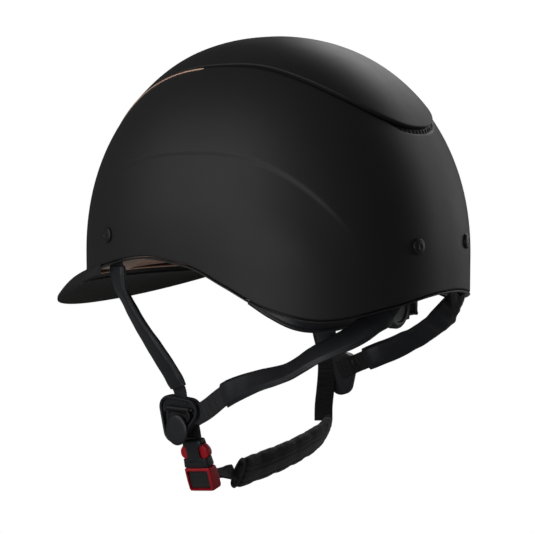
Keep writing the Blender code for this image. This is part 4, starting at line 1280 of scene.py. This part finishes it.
DIVIDER_CIRCLES = ((-0.0035, -0.0075, 0.0090), (0.0085, 0.0070, 0.0085), (-0.0075, 0.0080, 0.0085))
LEVER_CIRCLES = ((-0.0035, -0.0075, 0.0065), (0.0062, 0.0030, 0.0045), (-0.0062, 0.0035, 0.0045))
LOBE_POINTS = 120


def hull_outline(circles, steps):
    """The outline round three circles, each (across, up, radius), as points."""
    points = []
    count = len(circles)
    for i, (a, b, radius) in enumerate(circles):
        before, after = circles[i - 1], circles[(i + 1) % count]
        start = math.atan2(b - before[1], a - before[0]) - math.pi / 2
        end = math.atan2(after[1] - b, after[0] - a) - math.pi / 2
        while end < start:
            end += math.tau
        for k in range(steps + 1):
            turn = start + (end - start) * k / steps
            points.append((a + radius * math.cos(turn), b + radius * math.sin(turn)))
    return points


def lobe(circles, grow, depth, about=(-0.0010, -0.0005)):
    """A three-lobed ring at a depth, its points at even angles about a centre."""
    grown = [(a, b, radius + grow) for a, b, radius in circles]
    outline = np.array(hull_outline(grown, 24))
    outline = evenly(np.column_stack([outline, np.zeros(len(outline))]), 900, closed=True)[:, :2]
    offset = outline - about
    angles = np.arctan2(offset[:, 1], offset[:, 0])
    order = np.argsort(angles)
    reach = np.hypot(offset[:, 0], offset[:, 1])
    turns = np.linspace(-math.pi, math.pi, LOBE_POINTS, endpoint=False)
    radius = np.interp(turns, angles[order], reach[order], period=math.tau)
    return [
        Vector((depth, about[0] + r * math.cos(t), about[1] + r * math.sin(t)))
        for t, r in zip(turns, radius)
    ]


def disc_ring(centre, radius, depth, tall=1.0):
    turns = np.linspace(-math.pi, math.pi, LOBE_POINTS, endpoint=False)
    return [
        Vector((depth, centre[0] + radius * math.cos(t), centre[1] + radius * tall * math.sin(t)))
        for t in turns
    ]


def placed(rings, matrix):
    return [[matrix @ p for p in ring] for ring in rings]


def build_divider(label, outward_sign):
    turn = Matrix.Identity(4) if outward_sign > 0 else Matrix.Rotation(math.pi, 4, "Z")
    place = Matrix.Translation(DIVIDER_CENTRES[label]) @ turn
    rings = []
    for depth, grow in (
        (0.0, -1.6), (0.0, -0.9), (0.3, -0.3), (0.9, 0.0), (3.3, 0.05), (3.5, -0.25), (3.7, 0.05),
        (6.1, 0.0), (6.9, -0.2), (7.4, -0.7), (7.5, -1.2), (7.35, -1.7), (6.9, -2.1), (5.6, -2.3),
    ):
        rings.append(lobe(DIVIDER_CIRCLES, grow * MM, depth * MM))
    for depth, grow in ((4.6, 1.3), (3.4, 0.9), (3.1, 0.4), (3.0, -1.5)):
        rings.append(lobe(LEVER_CIRCLES, grow * MM, depth * MM))
    housing = loft(f"divider_housing_{label}", placed(rings, place), BLACK, sharp=32)
    settle(housing, "helmet", "black_plastic", f"divider_body_{label}")

    rings = []
    for depth, grow in (
        (3.6, -1.0), (3.6, -0.2), (6.0, -0.2), (6.5, -0.5), (6.7, -1.1), (6.4, -2.0), (5.4, -3.0),
        (5.3, -4.0),
    ):
        rings.append(lobe(LEVER_CIRCLES, grow * MM, depth * MM))
    facet = loft(f"lever_facet_{label}", placed(rings, place), DARK, sharp=32)
    settle(facet, f"lever_{label}", "shell", f"divider_lever_{label}")

    middle = (0.0005, -0.0068)
    rings = []
    for depth, radius in (
        (4.0, 5.6), (6.8, 5.9), (7.7, 6.2), (7.75, 8.8), (8.1, 9.2), (8.6, 9.2), (9.0, 8.9), (9.3, 8.2),
        (9.45, 6.8), (9.5, 4.5), (9.52, 2.0), (9.53, 0.4),
    ):
        rings.append(disc_ring(middle, radius * MM, depth * MM, 1.14))
    cap = loft(f"lever_cap_{label}", placed(rings, place), BLACK, sharp=38)
    settle(cap, f"lever_{label}", "shell")
    hinge = [
        [Vector((5.4 + r * math.cos(t), y, 7.5 + r * math.sin(t))) * MM
         for t in (math.tau * k / 24 for k in range(24))]
        for y, r in ((-9.5, 1.5), (-9.3, 1.8), (9.3, 1.8), (9.5, 1.5))
    ]
    knuckle = loft(f"lever_knuckle_{label}", placed(hinge, place), DARK, sharp=38)
    settle(knuckle, f"lever_{label}", "shell")


# --- Buckle -----------------------------------------------------------------


def buckle_frame():
    """Local +Z up the buckle's axis, local +X outward, local +Y towards the rear."""
    up = -BUCKLE_AXIS
    rear = up.cross(Vector((1, 0, 0))).normalized()
    out = rear.cross(up).normalized()
    turn = Matrix((out, rear, up)).transposed().to_4x4()
    return Matrix.Translation(BUCKLE_JOIN) @ turn


def rounded_ring(z, x_low, x_high, y_half, corner=0.28, points=48, y_middle=0.0):
    ring = []
    for j in range(points):
        turn = math.tau * (j + 0.5) / points
        x = (x_low + x_high) / 2 + (x_high - x_low) / 2 * power(math.cos(turn), corner)
        y = y_middle + y_half * power(math.sin(turn), corner)
        ring.append(Vector((x * MM, y * MM, z * MM)))
    return ring


def cut(item, cutter):
    change = item.modifiers.new("cut", "BOOLEAN")
    change.operation = "DIFFERENCE"
    change.solver = "EXACT"
    change.object = cutter
    bake(item)
    bpy.data.objects.remove(cutter, do_unlink=True)


def softened(item, width, segments=3):
    change = item.modifiers.new("soft_edges", "BEVEL")
    change.width = width
    change.segments = segments
    change.limit_method = "ANGLE"
    change.angle_limit = math.radians(40)
    bake(item)
    item.data.shade_smooth()
    item.data.set_sharp_from_angle(angle=math.radians(50))
    return item


def prism(name, low, high, material, corner=0.2, axis="Z"):
    """A block with rounded upright corners, its axis along X, Y or Z."""
    middle = [(a + b) / 2 for a, b in zip(low, high)]
    half = [(b - a) / 2 for a, b in zip(low, high)]
    order = {"Z": (0, 1, 2), "X": (1, 2, 0), "Y": (2, 0, 1)}[axis]
    rings = []
    for level in (-1, 1):
        ring = []
        for j in range(32):
            turn = math.tau * (j + 0.5) / 32
            point = [0.0, 0.0, 0.0]
            point[order[0]] = middle[order[0]] + half[order[0]] * power(math.cos(turn), corner)
            point[order[1]] = middle[order[1]] + half[order[1]] * power(math.sin(turn), corner)
            point[order[2]] = middle[order[2]] + half[order[2]] * level
            ring.append(Vector(point) * MM)
        rings.append(ring)
    return loft(name, rings, material)


def set_in(item, matrix):
    item.data.transform(matrix)
    return item


def build_buckle():
    place = buckle_frame()
    rings = []
    for z, y_half, low, high in (
        (0.3, 9.9, -4.0, 4.0), (0.6, 10.4, -4.4, 4.4), (1.6, 10.5, -4.5, 4.5), (6.0, 10.0, -4.4, 4.4),
        (11.0, 8.9, -4.2, 4.2), (15.5, 8.3, -4.0, 4.0), (18.6, 8.0, -3.7, 3.7), (19.6, 7.8, -3.3, 3.3),
        (20.0, 7.2, -2.7, 2.7),
    ):
        rings.append(rounded_ring(z, low, high, y_half))
    socket = loft("socket_shell", rings, BLACK, sharp=60)
    cut(socket, prism("bay", (-2.8, -8.2, -5), (2.8, 8.2, 17.4), BLACK))
    for side in (-1, 1):
        low, high = sorted((side * 5.2, side * 14.0))
        cut(socket, prism("window", (-9, low, 6.6), (9, high, 15.9), BLACK, 0.5, "X"))
    cut(socket, prism("groove", (3.6, -4.2, 3.6), (6, 4.2, 5.2), BLACK, 0.5, "X"))
    softened(socket, 0.00035)
    settle(set_in(socket, place), "helmet", "black_plastic", "buckle_socket")

    rings = []
    for z, y_half, low, high in (
        (-0.3, 10.2, -4.2, 4.2), (-0.8, 10.9, -4.6, 4.5), (-2.0, 11.0, -5.2, 4.5),
        (-9.0, 11.0, -6.4, 4.5), (-15.4, 10.6, -6.6, 4.4), (-16.6, 10.2, -6.2, 4.0),
        (-17.0, 9.4, -5.4, 3.2),
    ):
        rings.append(rounded_ring(z, low, high, y_half, 0.22))
    plug = loft("plug_shell", rings, RED, sharp=60)
    cut(plug, prism("window", (1.2, -9.1, -15.7), (12, 9.1, -2.0), RED, 0.16, "X"))
    cut(plug, prism("outlet", (-12, -7.6, -13.6), (0.2, 7.6, -6.0), RED, 0.2, "X"))
    softened(plug, 0.0004)
    settle(set_in(plug, place), "buckle_plug", "red_plastic", "buckle_plug")

    rings = []
    for i in range(25):
        z = -15.2 + 12.7 * i / 24
        rib = 0.22 if i % 2 else 0.0
        ends = min(i, 24 - i) / 3
        low = 1.0
        high = 2.4 + 0.7 * float(smooth(ends, 0, 1)) + rib
        rings.append(rounded_ring(z, low, high, 8.7, 0.25, 32))
    loop = loft("plug_webbing", rings, WEBBING, sharp=25)
    settle(set_in(loop, place), "buckle_plug", "webbing")

    outline = (
        (4.8, 0.3), (7.6, 0.3), (7.8, 4.5), (8.3, 6.4), (10.6, 7.3), (11.6, 8.6), (11.9, 11.0),
        (11.3, 13.4), (9.8, 15.0), (8.2, 16.5), (6.2, 16.5), (5.0, 14.4), (4.8, 12.0),
    )
    for label, side in (("front", -1), ("rear", 1)):
        dense = evenly([(0, a, b) for a, b in outline], 90, closed=True)
        soft = dense.copy()
        for _ in range(6):
            soft = (np.roll(soft, 1, 0) + 2 * soft + np.roll(soft, -1, 0)) / 4
        middle = soft.mean(axis=0)
        rings = []
        for x, shrink in ((-2.7, 0.86), (-2.6, 0.93), (-2.3, 0.98), (-1.6, 1.0), (1.6, 1.0), (2.3, 0.98),
                          (2.6, 0.93), (2.7, 0.86)):
            ring = middle + (soft - middle) * shrink
            rings.append([Vector((x, side * a, b)) * MM for _, a, b in ring])
        prong = loft(f"prong_{label}_red", rings, RED, sharp=60)
        set_in(prong, place)
        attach(prong, f"prong_{label}")
        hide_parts(f"release_prong_{label}")


def build_keeper():
    """The moulded ring that holds the strap's spare end, under the divider."""
    facing = ((0, (1, 0, 0)), (1, (1, 0, 0)))
    frames = strap_frames(SOCKET_LINE, facing, (0.36, 0.60), 0.0004)
    rings = []
    last = len(frames) - 1
    for i in range(last + 1):
        full = float(smooth(min(i, last - i) / 3, 0, 1))
        width = WEBBING_WIDTH + 0.0020 + 0.0016 * full
        rings.append(strap_ring(frames[i], width, 0.0030 + 0.0014 * full, 40, 0.4))
    for i in (last, 0):
        rings.append(strap_ring(frames[i], WEBBING_WIDTH + 0.0008, 0.0022, 40, 0.4))
    ring = loft("keeper_ring", rings, BLACK, closed=True, sharp=40)
    settle(ring, "helmet", "black_plastic", "strap_keeper")


# --- Chin pad ---------------------------------------------------------------

PAD_FACING = ((0, (0.12, 0.62, -0.33)), (1, (0, 0.62, -0.33)))


def build_chin_pad():
    """A quilted mesh sleeve round the chin strap, piped at its near and far ends, where deep black plugs
    paint the shade inside the open sleeve.
    """
    width, depth = 0.0255, 0.0082
    frames = strap_frames(PAD_LINE, PAD_FACING, (0.0, 1.0), 0.0016)
    last = len(frames) - 1
    rings = []
    for i, place in enumerate(frames):
        ends = min(i, last - i) / 3
        full = math.sqrt(1 - (1 - min(ends, 1.0)) ** 2)
        rings.append(strap_ring(
            place, width * (0.86 + 0.14 * full), depth * (0.62 + 0.38 * full), 36, 0.72
        ))
    pad = loft("chin_pad_quilted", rings, QUILT, sharp=80)
    stuffed(pad, 0.0022, cap=0.0016)
    subdivided(pad)
    places = np.array([f[1] for f in frames])
    across = np.array([f[2] for f in frames])
    out = np.array([f[3] for f in frames])
    length = 0.0016 * last

    def quilting(points):
        nearest = np.array([np.argmin(((places - p) ** 2).sum(axis=1)) for p in points])
        offset = points - places[nearest]
        side = (offset * across[nearest]).sum(axis=1)
        face = (offset * out[nearest]).sum(axis=1)
        along = nearest * 0.0016
        cell = length / 6.0
        phase = (along / cell) % 1.0
        seam = np.minimum(phase, 1 - phase) * cell
        edge = np.abs(side) / (width / 2)
        scallop = 0.0006 * (1 - smooth(seam, 0.0, 0.0055)) * (0.35 + 0.65 * smooth(edge, 0.35, 0.9))
        ridge = np.abs(np.abs(side) - 0.0052)
        line = 0.0007 * (1 - smooth(ridge, 0.0, 0.0012)) * (np.abs(face) > 0.001)
        inner_line = 0.0006 * (1 - smooth(np.abs(np.abs(side) - 0.0085), 0.0, 0.0010))
        return 0.0006 - scallop - line - inner_line * (np.abs(face) > 0.001)

    sculpt(pad, quilting)
    settle(pad, "helmet", "chin_fabric", "chin_pad")

    for label, at, facing_out in (("near", 0, -1), ("far", last, 1)):
        _, here, side, face = frames[at]
        step = (frames[min(at + 1, last)][1] - frames[max(at - 1, 0)][1]).normalized() * facing_out
        rings = []
        for j in range(72):
            turn = math.tau * j / 72
            a = width * 0.46 * power(math.cos(turn), 0.7)
            b = depth * 0.40 * power(math.sin(turn), 0.7)
            centre = here + side * a + face * b
            outwards = (side * a + face * b).normalized()
            rings.append([
                centre + (outwards * math.cos(t) + step * math.sin(t)) * 0.0011
                for t in (math.tau * k / 10 for k in range(10))
            ])
        piping = loft(f"chin_pad_piping_{label}", rings, PIPING, closed=True)
        settle(piping, "helmet", "chin_fabric")
        # A deep black plug in the pad's end: painted shade standing in for the dark inside of the open
        # sleeve.
        rings = []
        for reach, scale in ((0.0002, 1.0), (0.0006, 0.9), (-0.0002, 0.55), (-0.0006, 0.1)):
            ring = []
            for j in range(48):
                turn = math.tau * j / 48
                a = width * 0.45 * power(math.cos(turn), 0.7) * scale
                b = depth * 0.38 * power(math.sin(turn), 0.7) * scale
                ring.append(here + side * a + face * b + step * reach)
            rings.append(ring)
        hollow_shade = loft(f"chin_pad_hollow_shade_{label}", rings, DARK)
        settle(hollow_shade, "helmet", "chin_fabric")


# --- Nape adjuster ----------------------------------------------------------


def build_adjuster():
    centre = DIAL_CENTRE
    knob_frame = Matrix.Translation(centre) @ Matrix.Rotation(-math.pi / 2, 4, "X")
    rings = []
    points = 216
    profile = (
        (2.6, 2.2, 0), (2.8, 2.4, 0), (2.8, 4.2, 0), (13.4, 4.4, 0), (14.2, 4.8, 0.5), (14.5, 5.6, 1),
        (14.5, 10.2, 1), (14.1, 11.2, 0.7), (13.3, 11.9, 0.2), (12.4, 12.15, 0), (10.8, 12.2, 0),
        (10.0, 11.9, 0), (9.4, 11.3, 0), (8.0, 11.1, 0), (4.0, 11.3, 0), (0.5, 11.35, 0),
    )
    for radius, height, knurl in profile:
        ring = []
        for j in range(points):
            turn = math.tau * j / points
            dent = 0.45 * knurl * (0.5 - 0.5 * math.cos(turn * 36)) ** 2
            r = (radius - dent) * MM
            ring.append(knob_frame @ Vector((r * math.cos(turn), r * math.sin(turn), height * MM)))
        rings.append(ring)
    knob = loft("dial_wheel", rings, BLACK, sharp=35)
    settle(knob, "dial", "black_plastic", "dial_knob")
    for label, side in (("left", 1), ("right", -1)):
        route = [
            (side * 0.0309, 0.0890, -0.0190), (side * 0.0450, 0.0878, -0.0194),
            (side * 0.0620, 0.0800, -0.0215), (side * 0.0740, 0.0680, -0.0200),
            (side * 0.0800, 0.0530, -0.0130), (side * 0.0815, 0.0380, -0.0050),
        ]
        facing = ((0, (0.05 * side, 1, 0)), (1, (side, 0.15, 0)))
        rings = []
        for place in strap_frames(route, facing, (0, 1), 0.0012):
            _, here, across, out = place
            ring = []
            for j in range(44):
                turn = math.tau * (j + 0.5) / 44
                a = 0.0095 * power(math.cos(turn), 0.3)
                lip = float(smooth(abs(a) / 0.0095, 0.70, 0.82))
                groove = float(smooth(abs(a) / 0.0095, 0.0, 0.12))
                b = (0.0008 + 0.0006 * lip + 0.0002 * groove) * power(math.sin(turn), 0.4)
                ring.append(here + across * a + out * b)
            rings.append(ring)
        arm = loft(f"cradle_band_{label}", rings, BLACK, sharp=35)
        settle(arm, "nape_cradle", "black_plastic", f"cradle_arm_{label}")
    low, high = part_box("nape_pad")
    middle, half = (low + high) / 2, (high - low) / 2
    rings = []
    for i in range(17):
        turn = math.pi * (i / 16 - 0.5)
        share = math.sin(turn)
        round_off = max(math.cos(turn), 0.02) ** 0.35
        ring = []
        for j in range(40):
            angle = math.tau * j / 40
            ring.append(middle + Vector((
                half.x * 0.96 * power(math.cos(angle), 0.5) * round_off,
                half.y * 0.9 * share,
                half.z * 0.96 * power(math.sin(angle), 0.5) * round_off,
            )))
        rings.append(ring)
    pad = loft("nape_cushion", rings, QUILT, sharp=80)
    stuffed(pad, 0.0022, cap=0.0012)
    subdivided(pad)

    def tufts(points):
        cross = np.abs((points[:, 0] / 0.014 + 0.5) % 1.0 - 0.5) * 0.014
        return -0.0012 * (1 - smooth(cross, 0.0002, 0.0018))

    sculpt(pad, tufts)
    settle(pad, "nape_cradle", "chin_fabric", "nape_pad")


def repaint():
    """Procedural materials for the CAD nodes that stay in view."""
    finishes = {
        "dial_case": BLACK, "dial_pinion": NYLON, "left_rack": NYLON, "right_rack": NYLON,
        "divider_pin_left": DARK, "divider_pin_right": DARK,
        "washer_front_left": STEEL, "washer_front_right": STEEL,
        "washer_rear_left": STEEL, "washer_rear_right": STEEL,
    }
    for name, material in finishes.items():
        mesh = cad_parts[name].data
        mesh.materials.clear()
        mesh.materials.append(material)


# --- Studio -----------------------------------------------------------------

AZIMUTH_DEG = 124.0
ELEVATION_DEG = 1.5
CAMERA_DISTANCE = 1.0
AIM_HEIGHT = 0.06
SENSOR_MM = 36.0
LENS_MM = 94.7
# The framing: how far the picture's middle lies from the aim point, as tangents.
AIM_RIGHT = -0.00678
AIM_DOWN = 0.05563


def view_axes():
    azimuth, elevation = math.radians(AZIMUTH_DEG), math.radians(ELEVATION_DEG)
    back = Vector((
        math.sin(azimuth) * math.cos(elevation), -math.cos(azimuth) * math.cos(elevation),
        math.sin(elevation),
    ))
    right = Vector((math.cos(azimuth), math.sin(azimuth), 0))
    return right, back.cross(right).normalized(), back


def white_to_camera(name):
    """A pale floor that looks plain white, however little light falls on it."""
    look = Look(name, (0.40, 0.40, 0.40), 0.9)
    tree = look.tree
    glow = tree.nodes.new("ShaderNodeEmission")
    path = tree.nodes.new("ShaderNodeLightPath")
    mix = tree.nodes.new("ShaderNodeMixShader")
    tree.links.new(path.outputs["Is Camera Ray"], mix.inputs["Fac"])
    tree.links.new(look.shader.outputs["BSDF"], mix.inputs[1])
    tree.links.new(glow.outputs["Emission"], mix.inputs[2])
    tree.links.new(mix.outputs["Shader"], tree.nodes["Material Output"].inputs["Surface"])
    return look.material


def area_light(name, place, target, size, size_y, power_w, colour=(1, 1, 1)):
    data = bpy.data.lights.new(name, "AREA")
    data.shape = "RECTANGLE"
    data.size = size
    data.size_y = size_y
    data.energy = power_w
    data.color = colour
    light = bpy.data.objects.new(name, data)
    bpy.context.collection.objects.link(light)
    light.location = place
    light.rotation_euler = (place - target).to_track_quat("Z", "Y").to_euler()
    return light


def build_studio():
    right, up, back = view_axes()
    target = Vector((0, 0, AIM_HEIGHT))
    data = bpy.data.cameras.new("camera")
    data.lens = LENS_MM
    data.sensor_width = SENSOR_MM
    camera = bpy.data.objects.new("camera", data)
    bpy.context.collection.objects.link(camera)
    camera.location = target + back * CAMERA_DISTANCE
    look_to = -back + right * AIM_RIGHT - up * AIM_DOWN
    camera.rotation_euler = look_to.to_track_quat("-Z", "Y").to_euler()
    bpy.context.scene.camera = camera

    middle = Vector((0, 0, 0.02))
    area_light("key", middle - right * 1.5 + back * 0.9 + up * 0.9, middle, 1.5, 1.3, 9.5)
    area_light("side", middle + right * 1.3 - back * 0.85 + up * 0.45, middle, 0.8, 1.2, 3.5)
    area_light("low", middle + back * 1.1 - right * 0.7 - up * 0.12, middle, 0.9, 0.4, 3.2)
    area_light("behind", middle + right * 0.55 - back * 1.2 + up * 1.05, middle, 0.9, 0.7, 5.5)

    world = bpy.data.worlds.new("studio")
    world.use_nodes = True
    tree = world.node_tree
    background = tree.nodes["Background"]
    background.inputs["Color"].default_value = (1, 1, 1, 1)
    background.inputs["Strength"].default_value = 0.07
    seen = tree.nodes.new("ShaderNodeBackground")
    seen.inputs["Color"].default_value = (1, 1, 1, 1)
    seen.inputs["Strength"].default_value = 1.0
    path = tree.nodes.new("ShaderNodeLightPath")
    mix = tree.nodes.new("ShaderNodeMixShader")
    tree.links.new(path.outputs["Is Camera Ray"], mix.inputs["Fac"])
    tree.links.new(background.outputs["Background"], mix.inputs[1])
    tree.links.new(seen.outputs["Background"], mix.inputs[2])
    tree.links.new(mix.outputs["Shader"], tree.nodes["World Output"].inputs["Surface"])
    bpy.context.scene.world = world

    low = cad_box[0][2] - 0.012
    bpy.ops.mesh.primitive_plane_add(size=30, location=(0, 0, low))
    floor = bpy.context.object
    floor.name = "studio_floor"
    floor.data.materials.append(white_to_camera("pale_floor"))
    bpy.context.scene.view_settings.view_transform = "Standard"
    bpy.context.scene.view_settings.look = "None"


def main():
    build_shell()
    build_accents()
    build_vent()
    build_rim()
    build_rivets()
    build_peak()
    build_foam()
    headband("headband_front_pad", -97.0, 97.0, "headband_front")
    headband("headband_rear_pad", 118.0, 242.0, "headband_rear")
    build_bindings()
    build_comfort()
    build_harness()
    build_divider("left", 1)
    build_divider("right", -1)
    build_buckle()
    build_keeper()
    build_chin_pad()
    build_adjuster()
    repaint()
    build_studio()


main()
